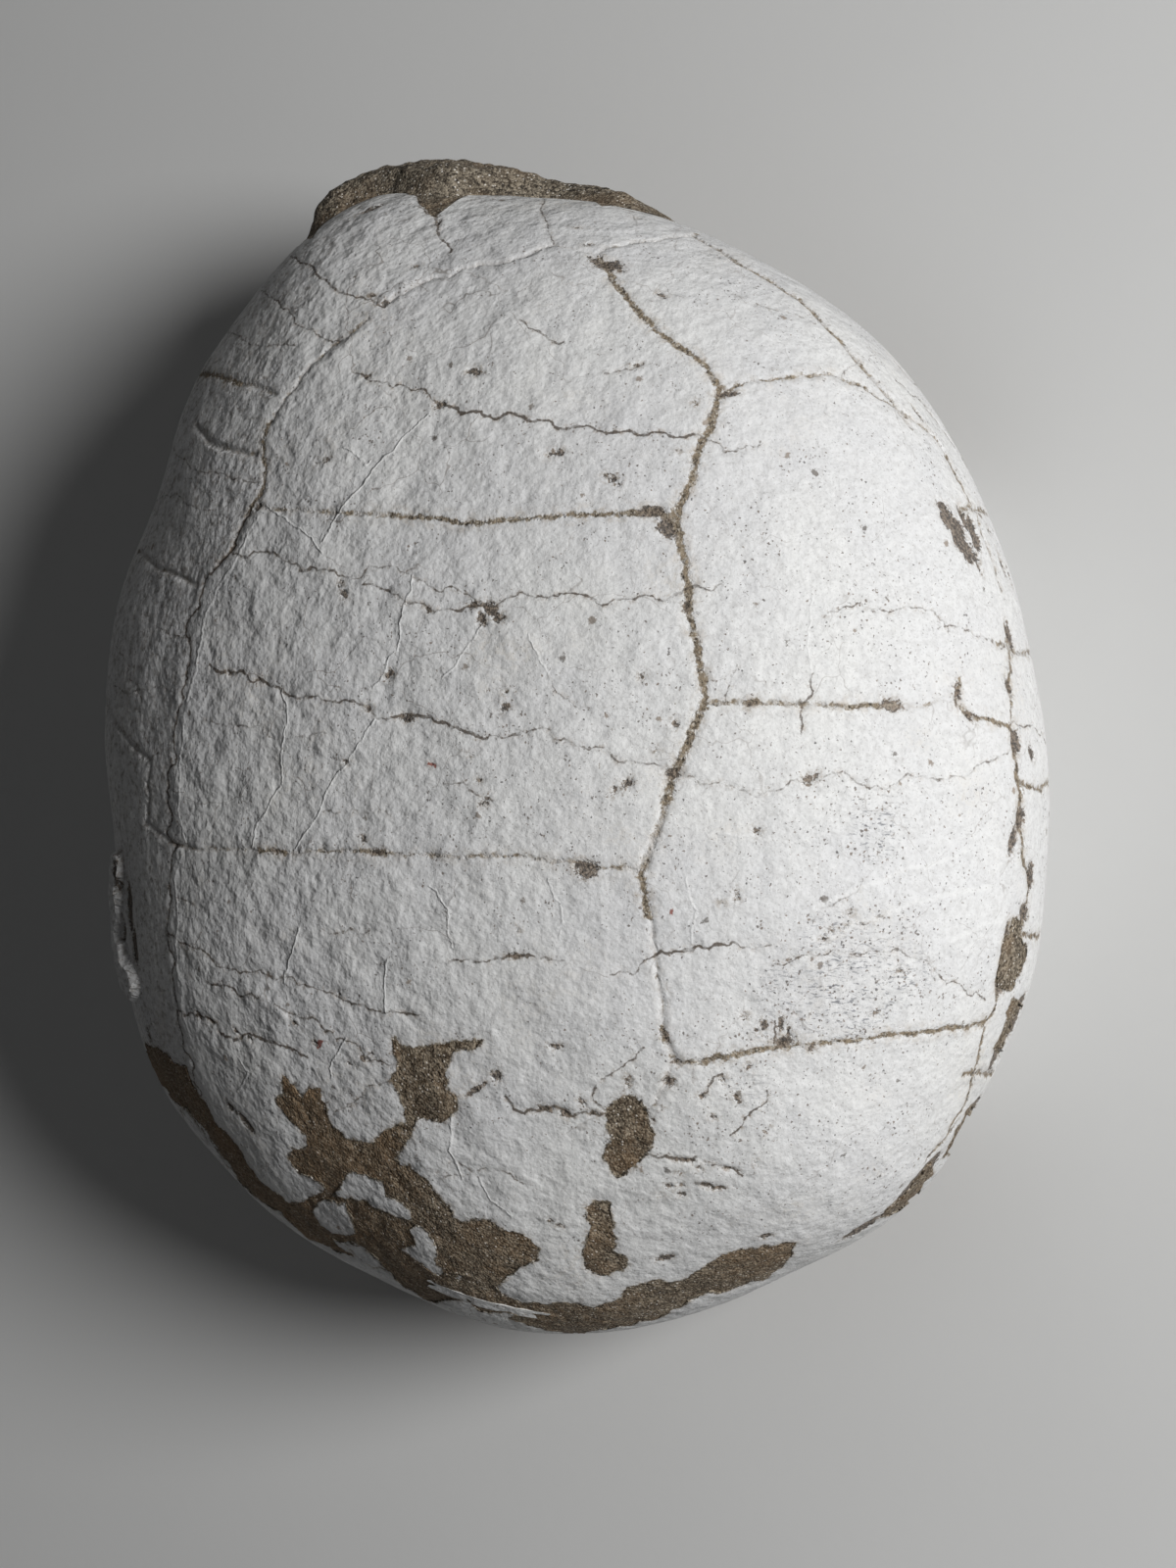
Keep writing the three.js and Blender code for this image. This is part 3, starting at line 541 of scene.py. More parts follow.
FLAKES = [
    # the main patch over the head end, with its band along the lower left edge
    [(400, 1061), (404, 1062), (410, 1070), (430, 1069), (453, 1066), (483, 1062), (491, 1061), (487, 1069),
     (462, 1074), (456, 1084), (454, 1096), (453, 1112), (465, 1121), (466, 1130), (457, 1141), (449, 1147),
     (441, 1143), (424, 1141), (419, 1158), (410, 1170), (401, 1184), (408, 1189), (418, 1191), (428, 1200),
     (438, 1209), (448, 1221), (458, 1230), (462, 1243), (470, 1247), (485, 1246), (502, 1247), (510, 1255),
     (525, 1258), (540, 1265), (548, 1275), (548, 1287), (533, 1292), (517, 1303), (506, 1314), (512, 1323),
     (535, 1331), (553, 1333), (568, 1331), (589, 1332), (604, 1336), (622, 1331), (635, 1325), (640, 1316),
     (665, 1309), (683, 1312), (701, 1308), (716, 1298), (732, 1285), (757, 1275), (778, 1271), (800, 1268),
     (812, 1268), (808, 1282), (798, 1295), (783, 1306), (766, 1308), (752, 1315), (734, 1320), (714, 1324),
     (696, 1334), (675, 1344), (655, 1349), (635, 1354), (600, 1360), (571, 1360), (550, 1356), (528, 1349),
     (519, 1346), (526, 1342), (500, 1339), (484, 1333), (479, 1326), (459, 1326), (436, 1327), (432, 1325),
     (406, 1308), (398, 1299), (388, 1289), (370, 1273), (350, 1268), (360, 1284), (340, 1277), (318, 1266),
     (300, 1252), (288, 1238), (270, 1228), (256, 1218), (244, 1208), (236, 1190), (222, 1176), (208, 1158),
     (192, 1138), (180, 1128), (168, 1112), (160, 1104), (151, 1086), (146, 1066), (159, 1072), (174, 1086),
     (189, 1089), (194, 1107), (207, 1122), (220, 1148), (238, 1165), (253, 1188), (263, 1201), (279, 1216),
     (294, 1229), (310, 1226), (322, 1220), (332, 1213), (330, 1209), (317, 1200), (304, 1196), (294, 1183),
     (299, 1171), (312, 1173), (314, 1159), (304, 1149), (296, 1142), (289, 1132), (282, 1121), (292, 1117),
     (290, 1098), (298, 1106), (309, 1121), (316, 1110), (327, 1111), (334, 1130), (340, 1150), (353, 1163),
     (368, 1165), (381, 1167), (391, 1155), (414, 1146), (412, 1132), (408, 1120), (397, 1102), (406, 1084)],
    [(636, 1119), (647, 1120), (655, 1130), (660, 1143), (669, 1158), (663, 1170), (653, 1184), (642, 1193),
     (630, 1201), (623, 1193), (616, 1182), (618, 1173), (624, 1165), (619, 1150), (618, 1133), (625, 1127)],
    [(596, 1234), (605, 1228), (622, 1229), (624, 1255), (628, 1265), (625, 1278), (641, 1288), (638, 1297),
     (617, 1303), (597, 1297), (594, 1280), (601, 1263), (604, 1252)],
    [(1026, 958), (1022, 985), (1020, 1008), (1033, 1011), (1043, 990), (1048, 970), (1044, 940),
     (1034, 938)],
    [(1033, 1020), (1026, 1045), (1013, 1070), (1022, 1080), (1034, 1062), (1044, 1038), (1040, 1022)],
    [(991, 1127), (984, 1140), (969, 1165), (962, 1180), (972, 1178), (988, 1152), (998, 1134)],
    [(950, 1186), (940, 1200), (925, 1216), (906, 1232), (900, 1242), (918, 1236), (938, 1218), (952, 1198)],
]
# and the bits of bone that are left inside them
BITS = [
    [(338, 1221), (347, 1210), (357, 1196), (374, 1199), (391, 1206), (393, 1219), (408, 1226), (419, 1236),
     (420, 1246), (407, 1243), (391, 1236), (375, 1227), (357, 1222)],
    [(319, 1237), (324, 1227), (337, 1224), (352, 1227), (360, 1243), (363, 1259), (352, 1262), (338, 1260),
     (325, 1250)],
    [(418, 1255), (424, 1250), (437, 1257), (444, 1270), (447, 1280), (445, 1290), (455, 1299), (442, 1299),
     (430, 1289), (418, 1281), (408, 1274), (424, 1270)],
    [(464, 1303), (469, 1298), (474, 1303), (469, 1308)],
    [(183, 1132), (190, 1132), (205, 1148), (222, 1170), (239, 1195), (222, 1186), (205, 1170), (190, 1152)],
    [(169, 1108), (176, 1111), (188, 1125), (178, 1121)],
    [(262, 1216), (275, 1224), (290, 1238), (281, 1234)],
    [(338, 1265), (356, 1268), (380, 1283), (396, 1297), (378, 1293), (356, 1280)],
]
TAIL_EDGE = [(290, 259), (300, 253), (315, 244), (333, 232), (348, 216), (360, 205),
             (380, 200), (399, 197), (415, 198), (425, 201), (429, 210), (437, 217), (445, 222), (455, 215),
             (464, 209), (480, 203), (497, 196), (525, 192), (551, 191), (569, 202), (594, 202), (620, 213),
             (645, 210), (658, 207)]
TAIL_SIDES = ([(36, 98), (64, 97), (75, 91)], [(120, 84), (125, 94), (144, 98)])  # azimuth and polar angle
TAIL_LOWER = [(36, 116), (46, 133), (58, 138), (74, 130), (84, 127), (90, 131), (96, 127), (106, 130),
              (122, 138), (134, 133), (144, 116)]
HEAD_UPPER = [(216, 99), (230, 98), (248, 99), (262, 97), (278, 98), (292, 99), (310, 98), (324, 99)]
HEAD_LOWER = [(216, 116), (226, 133), (240, 137), (254, 128), (263, 122), (277, 122), (286, 128), (300, 137),
              (314, 133), (324, 116)]

# --- Noise ------------------------------------------------------------------------------------------------

LATTICE = np.random.default_rng(5).uniform(-1, 1, (48, 48, 48))


def noise(points, wavelength, shift=0.0):
    """Smooth noise between about -1 and 1."""
    place = points / wavelength + shift
    cell = np.floor(place).astype(np.int64)
    part = place - cell
    part = part * part * (3 - 2 * part)
    total = np.zeros(len(points))
    for corner in np.ndindex(2, 2, 2):
        share = np.prod(np.where(np.array(corner) == 1, part, 1 - part), axis=1)
        total += share * LATTICE[tuple(((cell + corner) % 48).T)]
    return total


def step_up(value, low, high):
    share = np.clip((value - low) / (high - low), 0, 1)
    return share * share * (3 - 2 * share)


# --- Places of the features -------------------------------------------------------------------------------

PIXEL = 0.19  # mm on the object
# how far each kind of line strays from its points, as a share of their distance
SULCUS_WANDER, CRACK_WANDER, RIDGE_WANDER, LEDGE_WANDER, FOLD_WANDER = 0.045, 0.13, 0.06, 0.05, 0.03
HIDDEN_WANDER, HIDDEN_CRACK_WANDER, FLAKE_WANDER, TAIL_WANDER = 0.05, 0.12, 0.07, 0.11
# half width in mm, fill and depth in mm
HIDDEN_SULCUS, MARGINAL_SULCUS, BELLY_SULCUS = (0.8, 0.5, 0.7), (0.6, 0.6, 0.5), (0.8, 0.7, 0.7)
HIDDEN_CRACK = (0.17, 0.6)  # half width in mm, and darkness

grooves = Lines(3)  # half width, fill, depth
for width, fill, depth, points in SULCI:
    grooves.add(seen(points, SULCUS_WANDER), width * PIXEL / 2, fill, depth)
for points in HIDDEN_SULCI:
    grooves.add(chart(points, HIDDEN_WANDER), *HIDDEN_SULCUS)
for azimuth in MARGINAL_AZIMUTHS:
    way = np.array([math.cos(math.radians(azimuth)), math.sin(math.radians(azimuth))])
    grooves.add(chart([way * polar for polar in MARGINAL_POLARS], HIDDEN_WANDER), *MARGINAL_SULCUS)
for points in BELLY_SULCI:
    grooves.add(chart(points, HIDDEN_WANDER, belly=True), *BELLY_SULCUS)
grooves.close()

cracks_and_fold_shadow = Lines(2)  # half width, darkness
for width, darkness, points in CRACKS_AND_FOLD_SHADOW:
    cracks_and_fold_shadow.add(seen(points, CRACK_WANDER), width * PIXEL / 2, darkness)
for points in HIDDEN_CRACKS:
    cracks_and_fold_shadow.add(chart(points, HIDDEN_CRACK_WANDER), *HIDDEN_CRACK)
for points in BELLY_CRACKS:
    cracks_and_fold_shadow.add(chart(points, HIDDEN_CRACK_WANDER, belly=True), *HIDDEN_CRACK)
cracks_and_fold_shadow.close()

ridges = Lines(1)  # half width
for width, points in RIDGES:
    ridges.add(seen(points, RIDGE_WANDER), width * PIXEL / 2)
ridges.close()
ledges = Lines(2)  # height, half width
for high, half, points in LEDGES:
    ledges.add(seen(points, LEDGE_WANDER), high, half)
ledges.close()
fold = Lines(1)
fold.add(seen(FOLD, FOLD_WANDER), 0)
fold.close()

outline_ways = [seen(points, FLAKE_WANDER, closed=True) for points in FLAKES]
bit_ways = [seen(points, FLAKE_WANDER, closed=True) for points in BITS]
broken = Lines(1)
for ways in outline_ways + bit_ways:
    broken.add(np.concatenate([ways, ways[:1]]), 0)
broken.close()

TIP = 8  # pixels, to find a spot's two directions


def spot_frames(spots):
    """The place and the two half axes of each spot on the surface, in mm."""
    middles = surface(*angles(base.ways_seen([(x, y) for x, y, *_ in spots])))
    ends = []
    for quarter in (0, 90):
        turns = [math.radians(turn + quarter) for *_, turn in spots]
        tips = [(x + TIP * math.cos(turn), y + TIP * math.sin(turn))
                for (x, y, *_), turn in zip(spots, turns)]
        ends.append(unit(surface(*angles(base.ways_seen(tips))) - middles))
    sizes = np.array([(a * PIXEL, b * PIXEL) for _, _, a, b, _ in spots])
    return middles, ends[0] / sizes[:, :1], ends[1] / sizes[:, 1:], sizes.mean(1)


def spot_distance(frames, points):
    """How far each point is outside the nearest spot, in mm, and under 0 inside it."""
    middles, along, across, size = frames
    best = np.full(len(points), 9.0)
    for middle, a, b, radius in zip(middles, along, across, size):
        close = np.flatnonzero(np.abs(points - middle).max(1) < 8)
        apart = points[close] - middle
        out = (np.hypot(apart @ a, apart @ b) - 1) * radius
        best[close] = np.minimum(best[close], out)
    return best


spots = spot_frames(SPOTS)
rusts = spot_frames(RUSTS)
speckled = surface(*angles(base.ways_seen([(x, y) for x, y, *_ in SPECKLED])))

# --- Meshes -----------------------------------------------------------------------------------------------


def refined(ways, triangles, wanted, passes):
    """Splits triangles by their longest edges until each edge is about as short as wanted asks."""
    points = surface(*angles(ways))
    want = wanted(ways, points)
    rows = np.arange(3)
    for _ in range(passes):
        corner = np.stack([triangles, np.roll(triangles, -1, 1)], -1)
        corner.sort(-1)
        edges, ids = np.unique(corner.reshape(-1, 2), axis=0, return_inverse=True)
        ids = ids.reshape(-1, 3)
        length = np.linalg.norm(points[edges[:, 0]] - points[edges[:, 1]], axis=1)
        marked = length > 1.35 * want[edges].mean(1)
        longest = length[ids].argmax(1)
        longest_id = np.take_along_axis(ids, longest[:, None], 1)[:, 0]
        while True:
            more = marked[ids].any(1) & ~marked[longest_id]
            if not more.any():
                break
            marked[longest_id[more]] = True
        if not marked.any():
            break
        turned = (longest[:, None] + rows) % 3
        triangles = np.take_along_axis(triangles, turned, 1)
        ids = np.take_along_axis(ids, turned, 1)
        number = np.full(len(edges), -1)
        number[marked] = len(ways) + np.arange(marked.sum())
        fresh = unit(ways[edges[marked, 0]] + ways[edges[marked, 1]])
        fresh_points = surface(*angles(fresh))
        ways, points = np.concatenate([ways, fresh]), np.concatenate([points, fresh_points])
        want = np.concatenate([want, wanted(fresh, fresh_points)])
        a, b, c = triangles.T
        ab, bc, ca = number[ids].T
        split, on_bc, on_ca = ab >= 0, bc >= 0, ca >= 0
        parts = [triangles[~split]]
        for chosen, corners in (
            (split & ~on_ca, (a, ab, c)), (split & on_ca, (a, ab, ca)), (split & on_ca, (ca, ab, c)),
            (split & ~on_bc, (ab, b, c)), (split & on_bc, (ab, b, bc)), (split & on_bc, (ab, bc, c)),
        ):
            parts.append(np.stack([k[chosen] for k in corners], -1))
        triangles = np.concatenate(parts)
    return ways, triangles


def mesh_object(name, points, faces):
    mesh = bpy.data.meshes.new(name)
    mesh.from_pydata((np.asarray(points) / 1000).tolist(), [], np.asarray(faces).tolist())
    mesh.validate()
    made = bpy.data.objects.new(name, mesh)
    bpy.context.scene.collection.objects.link(made)
    return made


def drop(made):
    mesh = made.data
    bpy.data.objects.remove(made)
    bpy.data.meshes.remove(mesh)


def combine(body, others, operation):
    """body with the other solids cut from it, added or shared with it. The others are used up."""
    for other in others:
        modifier = body.modifiers.new("with", "BOOLEAN")
        modifier.operation = operation
        modifier.solver = "MANIFOLD"
        modifier.object = other
    shown = body.evaluated_get(bpy.context.evaluated_depsgraph_get())
    mesh = bpy.data.meshes.new_from_object(shown)
    old = body.data
    body.modifiers.clear()
    body.data = mesh
    bpy.data.meshes.remove(old)
    for other in others:
        drop(other)
    return body


CUT_OUT, CUT_IN = 9.0, -12.0  # mm from the surface, where the cutting solids end
BIT_IN = -1.6  # mm, how deep the bits of bone in the main patch reach
RAGGED_EDGE = 1.2  # degrees, the teeth of the openings' lower edges
SLAB_STEP, SLAB_ROWS = 0.35, 14  # degrees of azimuth from column to column, and rows
RIM_POLAR = 95.0  # degrees


def prism(name, ways, out=CUT_OUT, inwards=CUT_IN):
    """A solid through the bone under a closed outline."""
    azimuth, polar = angles(ways)
    points, normals = surface(azimuth, polar), normal_at(azimuth, polar)
    middle = unit(normals.mean(0))
    across = unit(np.cross(middle, [0.3, 0.9, 0.1]))
    flat = np.stack([points @ across, points @ np.cross(middle, across)], -1)
    turned = np.roll(flat, -1, 0)
    if (flat[:, 0] * turned[:, 1] - flat[:, 1] * turned[:, 0]).sum() < 0:
        points, normals, flat = points[::-1], normals[::-1], flat[::-1]
    count = len(points)
    caps = tessellate_polygon([[Vector((x, y, 0)) for x, y in flat]])
    faces = []
    for a, b, c in caps:
        u, v = flat[b] - flat[a], flat[c] - flat[a]
        a, b, c = (a, b, c) if u[0] * v[1] - u[1] * v[0] > 0 else (a, c, b)
        faces += [(a, b, c), (count + c, count + b, count + a)]
    for i in range(count):
        after = (i + 1) % count
        faces += [(i, count + i, count + after), (i, count + after, after)]
    return mesh_object(name, np.concatenate([points + normals * out, points + normals * inwards]), faces)


def slab(name, upper, lower):
    """A solid through the bone between two edges given as (azimuth, polar) in degrees."""
    first, last = upper[0][0], upper[-1][0]
    azimuth = np.arange(first, last + 0.01, SLAB_STEP)
    ragged = surface(np.radians(azimuth), np.radians(np.full(len(azimuth), RIM_POLAR)))
    top = np.interp(azimuth, *np.array(upper).T)
    bottom = np.interp(azimuth, *np.array(lower).T)
    bottom += RAGGED_EDGE * noise(ragged, 5, 3) + 0.5 * RAGGED_EDGE * noise(ragged, 2, 9)
    polar = top[:, None] + (bottom - top)[:, None] * np.arange(SLAB_ROWS + 1) / SLAB_ROWS
    turn = np.radians(np.broadcast_to(azimuth[:, None], polar.shape).ravel())
    polar = np.radians(polar.ravel())
    points, normals = surface(turn, polar), normal_at(turn, polar)
    columns, side = len(azimuth), SLAB_ROWS + 1
    number = np.arange(columns * side).reshape(columns, side)
    under = number + columns * side
    quads = []

    def sheet(a, b, c, d):
        quads.extend(np.stack([x.ravel() for x in (a, b, c, d)], -1).tolist())

    sheet(number[:-1, :-1], number[:-1, 1:], number[1:, 1:], number[1:, :-1])
    sheet(under[:-1, :-1], under[1:, :-1], under[1:, 1:], under[:-1, 1:])
    sheet(number[:-1, 0], number[1:, 0], under[1:, 0], under[:-1, 0])
    sheet(number[:-1, -1], under[:-1, -1], under[1:, -1], number[1:, -1])
    sheet(number[0, :-1], under[0, :-1], under[0, 1:], number[0, 1:])
    sheet(number[-1, :-1], number[-1, 1:], under[-1, 1:], under[-1, :-1])
    faces = [f for a, b, c, d in quads for f in ((a, b, c), (a, c, d))]
    return mesh_object(name, np.concatenate([points + normals * CUT_OUT, points + normals * CUT_IN]), faces)


def tail_upper():
    """The broken tail edge of the carapace as (azimuth, polar), from the pixels of its middle."""
    azimuth, polar = (np.degrees(k) for k in angles(seen(TAIL_EDGE[::-1], TAIL_WANDER)))
    right, left = TAIL_SIDES
    edge = list(right)
    for place in zip(azimuth, polar):
        if edge[-1][0] + 0.05 < place[0] < left[0][0]:
            edge.append(place)
    return edge + list(left)


TAIL_UPPER = tail_upper()


def smoothed(edge, spread):
    """The same edge with its teeth smoothed away, over spread degrees of azimuth."""
    azimuth, polar = np.array(edge).T
    steps = np.arange(azimuth[0], azimuth[-1] + 1)
    level = np.interp(steps, azimuth, polar)
    weights = np.exp(-((steps[:, None] - steps) / spread) ** 2)
    return list(zip(steps, weights @ level / weights.sum(1)))


TAIL_SMOOTH = smoothed(TAIL_UPPER, 5)
TAIL_STONE = [(azimuth, min(polar, np.interp(azimuth, *zip(*TAIL_SMOOTH)))) for azimuth, polar in TAIL_UPPER]


def in_opening(azimuth, polar, upper, lower):
    """How many degrees inside an opening a place lies."""
    azimuth = np.degrees(azimuth) % 360
    polar = np.degrees(polar)
    top, bottom = np.interp(azimuth, *np.array(upper).T), np.interp(azimuth, *np.array(lower).T)
    return np.minimum(np.minimum(polar - top, bottom - polar),
                      np.minimum(azimuth - upper[0][0], upper[-1][0] - azimuth))


def cutters(tail=TAIL_UPPER):
    """The solids of everything where bone is missing."""
    made = [prism(f"flake_{i}", ways) for i, ways in enumerate(outline_ways)]
    kept = [prism(f"bit_{i}", ways, CUT_OUT + 1, BIT_IN) for i, ways in enumerate(bit_ways)]
    made[0] = combine(made[0], kept, "DIFFERENCE")
    made.append(slab("tail", tail, TAIL_LOWER))
    made.append(slab("head", HEAD_UPPER, HEAD_LOWER))
    return made


# --- The bone ---------------------------------------------------------------------------------------------

# How long the triangles' edges are, in mm: on plain bone that shows, on hidden bone and underneath
EDGE_SHOWN, EDGE_HIDDEN, EDGE_UNDER = 1.55, 2.5, 3.4
# and at sulci that show, at hidden sulci, in pits, on ledges and along broken edges
SULCUS_SHOWN, SULCUS_HIDDEN, PIT_EDGE, LEDGE_EDGE, BROKEN_EDGE = 0.58, 0.9, 0.55, 0.7, 0.85
SLOPE = 0.75  # how fast they grow with the distance from a feature
UNDER = math.radians(125)


def facing(points, normals):
    """The cosine of the angle between the surface and the way to the camera's place at rest."""
    return (unit(EYE - points) * normals).sum(1)


def bone_wanted(ways, points):
    azimuth, polar = angles(ways)
    normals = normal_at(azimuth, polar)
    shown = facing(points, normals) > -0.05
    want = np.where(polar > UNDER, EDGE_UNDER, np.where(shown, EDGE_SHOWN, EDGE_HIDDEN))
    fine = np.where(shown, SULCUS_SHOWN, SULCUS_HIDDEN)

    def near(edge, distance):
        return np.minimum(want, edge + SLOPE * np.maximum(0, distance))

    distance, _, values = grooves.near(points, normals)
    want = near(fine, distance - values[:, 0] - 0.4)
    want = near(1.35 * fine, cracks_and_fold_shadow.near(points, normals)[0] - 0.4)
    want = near(PIT_EDGE, spot_distance(spots, points) - 0.2)
    distance, _, values = ledges.near(points, normals)
    want = near(LEDGE_EDGE, distance - values[:, 1] - 0.6)
    return near(BROKEN_EDGE, broken.near(points, normals)[0] - 0.4)


FLANK_SIDE = -1  # the sign of the flank's side of the fold
COARSER_LEFT = (-45, 70)  # mm to the left of the middle, over which the grain grows coarser
FOLD_DROP, FOLD_REACH = 0.35, 7  # mm, how much lower the flank is and how far from the fold
CRACK_DEPTH, PIT_DEPTH, BROKEN_WEAR = 0.22, 0.25, 0.18  # mm
FLAT_BELLY = math.radians(150)


def undulation(points):
    return 0.45 * noise(points, 36, 2) + 0.22 * noise(points, 15, 5)


def bone_height(ways, points, normals):
    """How far the bone's surface stands out of the smooth one, in mm."""
    _, polar = angles(ways)
    left = step_up(-points[:, 0], *COARSER_LEFT)
    height = undulation(points) + (0.06 + 0.04 * left) * noise(points, 6, 7)
    height += (0.03 + 0.03 * left) * noise(points, 2.2, 1)
    distance, _, values = grooves.near(points, normals)
    half, fill, depth = values.T
    wide = half * (1 + 0.25 * noise(points, 3.1, 4))
    depth = depth * (1 - 0.85 * fill)
    height -= depth * (1 - step_up(distance, 0.35 * wide, 1.25 * wide + 0.15))
    height += 0.04 * np.exp(-((distance - wide - 1.2) / 1.1) ** 2)
    distance, side, _ = fold.near(points, normals)
    beyond = np.maximum(0, FLANK_SIDE * side) / FOLD_REACH
    height -= FOLD_DROP * beyond * np.exp(1 - beyond) * (distance < np.abs(side) + 1)
    distance, side, values = cracks_and_fold_shadow.near(points, normals)
    height -= CRACK_DEPTH * values[:, 1] * (1 - step_up(distance, 0.1, values[:, 0] + 0.45))
    height += 0.05 * np.tanh(side / 1.5) * np.exp(-distance / 4) * noise(points, 20, 11)
    distance, _, values = ridges.near(points, normals)
    height += (0.06 + 0.10 * np.minimum(values[:, 0], 1.0)) * np.exp(-(distance / (values[:, 0] + 0.1)) ** 2)
    distance, _, values = ledges.near(points, normals)
    distance += 0.45 * noise(points, 2.1, 12) + 0.25 * noise(points, 0.9, 3)
    lumpy = 1 + 0.35 * noise(points, 2.6, 9)
    height += values[:, 0] * lumpy * (1 - step_up(distance, values[:, 1] - 0.3, values[:, 1] + 0.3))
    distance = spot_distance(spots, points)
    height -= PIT_DEPTH * (1 - step_up(distance, -0.35, 0.25))
    distance, _, _ = broken.near(points, normals)
    height -= BROKEN_WEAR * np.exp(-distance / 0.8) * (1 + noise(points, 1.6, 8))
    return height * np.where(polar > FLAT_BELLY, 0.0, 1.0)


def case_at(ways, height):
    azimuth, polar = angles(ways)
    points = surface(azimuth, polar)
    return points + normal_at(azimuth, polar) * np.broadcast_to(height, len(ways))[:, None]


def make_bone():
    ways, triangles = refined(*icosphere(6), bone_wanted, 8)
    points = surface(*angles(ways))
    normals = normal_at(*angles(ways))
    points = points + normals * bone_height(ways, points, normals)[:, None]
    points[:, 2] = np.maximum(points[:, 2], 0)
    bone = mesh_object("bone_case", points, triangles)
    inner_ways, inner_triangles = icosphere(5)
    inner = mesh_object("inner", case_at(inner_ways, -BONE), inner_triangles)
    return combine(bone, [inner] + cutters(), "DIFFERENCE")


# --- The stone --------------------------------------------------------------------------------------------

# How long the stone's edges are, in mm: in the patches, in the openings and where bone covers it
STONE_PATCH_EDGE, STONE_EDGE_SHOWN, STONE_EDGE_HIDDEN, STONE_EDGE_COVERED = 0.6, 0.8, 1.5, 7
MM_PER_DEGREE = 1.7  # of polar angle near the rim
# The swell at the tail: its height in mm, and the degrees over which it starts and ends
TAIL_SWELL, TAIL_SWELL_AZIMUTHS, TAIL_SWELL_POLARS = 4.6, (77, 87, 112, 120), (98, 122)
# How far the stone lies under the bone's surface, in mm, and the polar angles over which that deepens
STONE_RECESS, UNDER_RECESS, UNDER_POLARS = 0.2, 4.0, (92, 104)


def stone_zones(ways):
    azimuth, polar = angles(ways)
    tail = in_opening(azimuth, polar, TAIL_UPPER, TAIL_LOWER)
    head = in_opening(azimuth, polar, HEAD_UPPER, HEAD_LOWER)
    return tail, head


def stone_wanted(ways, points):
    azimuth, polar = angles(ways)
    normals = normal_at(azimuth, polar)
    tail, head = stone_zones(ways)
    _, distance = nearest_in(patch_tree, points)
    inside = np.where(patch_inside(ways), 0, distance)
    want = STONE_PATCH_EDGE + SLOPE * np.maximum(0, inside - 1)
    outside = -MM_PER_DEGREE * np.maximum(tail, head)
    edge = np.where(facing(points, normals) > -0.25, STONE_EDGE_SHOWN, STONE_EDGE_HIDDEN)
    want = np.minimum(want, edge + SLOPE * np.maximum(0, outside - 1))
    return np.minimum(want, STONE_EDGE_COVERED)


def to_pixels(points):
    apart = points - EYE
    depth = -(apart @ BACK)
    across, down = apart @ RIGHT / depth, -(apart @ UP) / depth
    return np.stack([WIDTH / 2 + FOCAL * across, HEIGHT / 2 + FOCAL * down], -1)


def inside_outline(outline, pixels):
    a, b = outline, np.roll(outline, -1, 0)
    inside = np.zeros(len(pixels), bool)
    x, y = pixels.T
    for (ax, ay), (bx, by) in zip(a, b):
        if ay != by:
            crosses = ((ay > y) != (by > y)) & (x < (bx - ax) * (y - ay) / (by - ay) + ax)
            inside ^= crosses
    return inside


patch_points = np.concatenate([surface(*angles(ways)) for ways in outline_ways])
patch_tree = tree_of(patch_points)
patch_pixels = [to_pixels(surface(*angles(ways))) for ways in outline_ways]


def patch_inside(ways):
    """Whether a place is where a flake of bone is missing, as far as the camera sees it."""
    points = surface(*angles(ways))
    normals = normal_at(*angles(ways))
    found = np.zeros(len(ways), bool)
    close = np.flatnonzero(facing(points, normals) > -0.02)
    pixels = to_pixels(points[close])
    for outline in patch_pixels:
        near = np.flatnonzero(((pixels > outline.min(0)) & (pixels < outline.max(0))).all(1))
        found[close[near]] |= inside_outline(outline, pixels[near])
    return found


def stone_height(ways, points):
    azimuth, polar = angles(ways)
    inside = in_opening(azimuth, polar, TAIL_SMOOTH, TAIL_LOWER)
    azimuth, polar = np.degrees(azimuth) % 360, np.degrees(polar)
    first, full, last, end = TAIL_SWELL_AZIMUTHS
    at_tail = step_up(azimuth, first, full) * (1 - step_up(azimuth, last, end))
    at_tail *= 1 - step_up(polar, *TAIL_SWELL_POLARS)
    at_tail *= step_up(inside, -1.0, 5.0)
    under = step_up(polar, *UNDER_POLARS)
    rough = np.maximum(at_tail, under)
    grit = 0.16 * noise(points, 2.3, 6) + 0.12 * noise(points, 1.1, 2)
    lumps = 0.15 * noise(points, 9, 1) + (1 - rough) * undulation(points)
    lumps += rough * (1.5 * noise(points, 19, 4) + 0.15 * noise(points, 9, 1) + 0.8 * noise(points, 8, 8)
                      + 0.5 * noise(points, 3.5, 9) + 0.3 * noise(points, 1.7, 3))
    offset = TAIL_SWELL * at_tail - UNDER_RECESS * under * (1 - at_tail) - STONE_RECESS
    return offset + lumps + grit * (1 + rough)


def make_stone():
    ways, triangles = refined(*icosphere(5), stone_wanted, 9)
    rough = mesh_object("rough", case_at(ways, stone_height(ways, surface(*angles(ways)))), triangles)
    shares = []
    for cutter in cutters(TAIL_STONE):
        part = rough.copy()
        part.data = rough.data.copy()
        bpy.context.scene.collection.objects.link(part)
        shares.append(combine(part, [cutter], "INTERSECT"))
    drop(rough)
    core_ways, core_triangles = icosphere(5)
    core = mesh_object("sandstone_filling", case_at(core_ways, -BONE - GAP), core_triangles)
    return combine(core, shares, "UNION")


# --- Attributes for the materials -------------------------------------------------------------------------


def write_attribute(mesh, name, values):
    kind, field = ("FLOAT", "value") if values.ndim == 1 else ("FLOAT_VECTOR", "vector")
    attribute = mesh.attributes.new(name, kind, "POINT")
    attribute.data.foreach_set(field, values.astype(np.float32).ravel())


def placed_vertices(mesh):
    """The vertices in mm, and the direction, point and normal of the smooth surface nearest to each."""
    places = np.empty(len(mesh.vertices) * 3)
    mesh.vertices.foreach_get("co", places)
    places = places.reshape(-1, 3) * 1000
    ways = base.ways_near(places)
    return places, ways, surface(*angles(ways)), normal_at(*angles(ways))


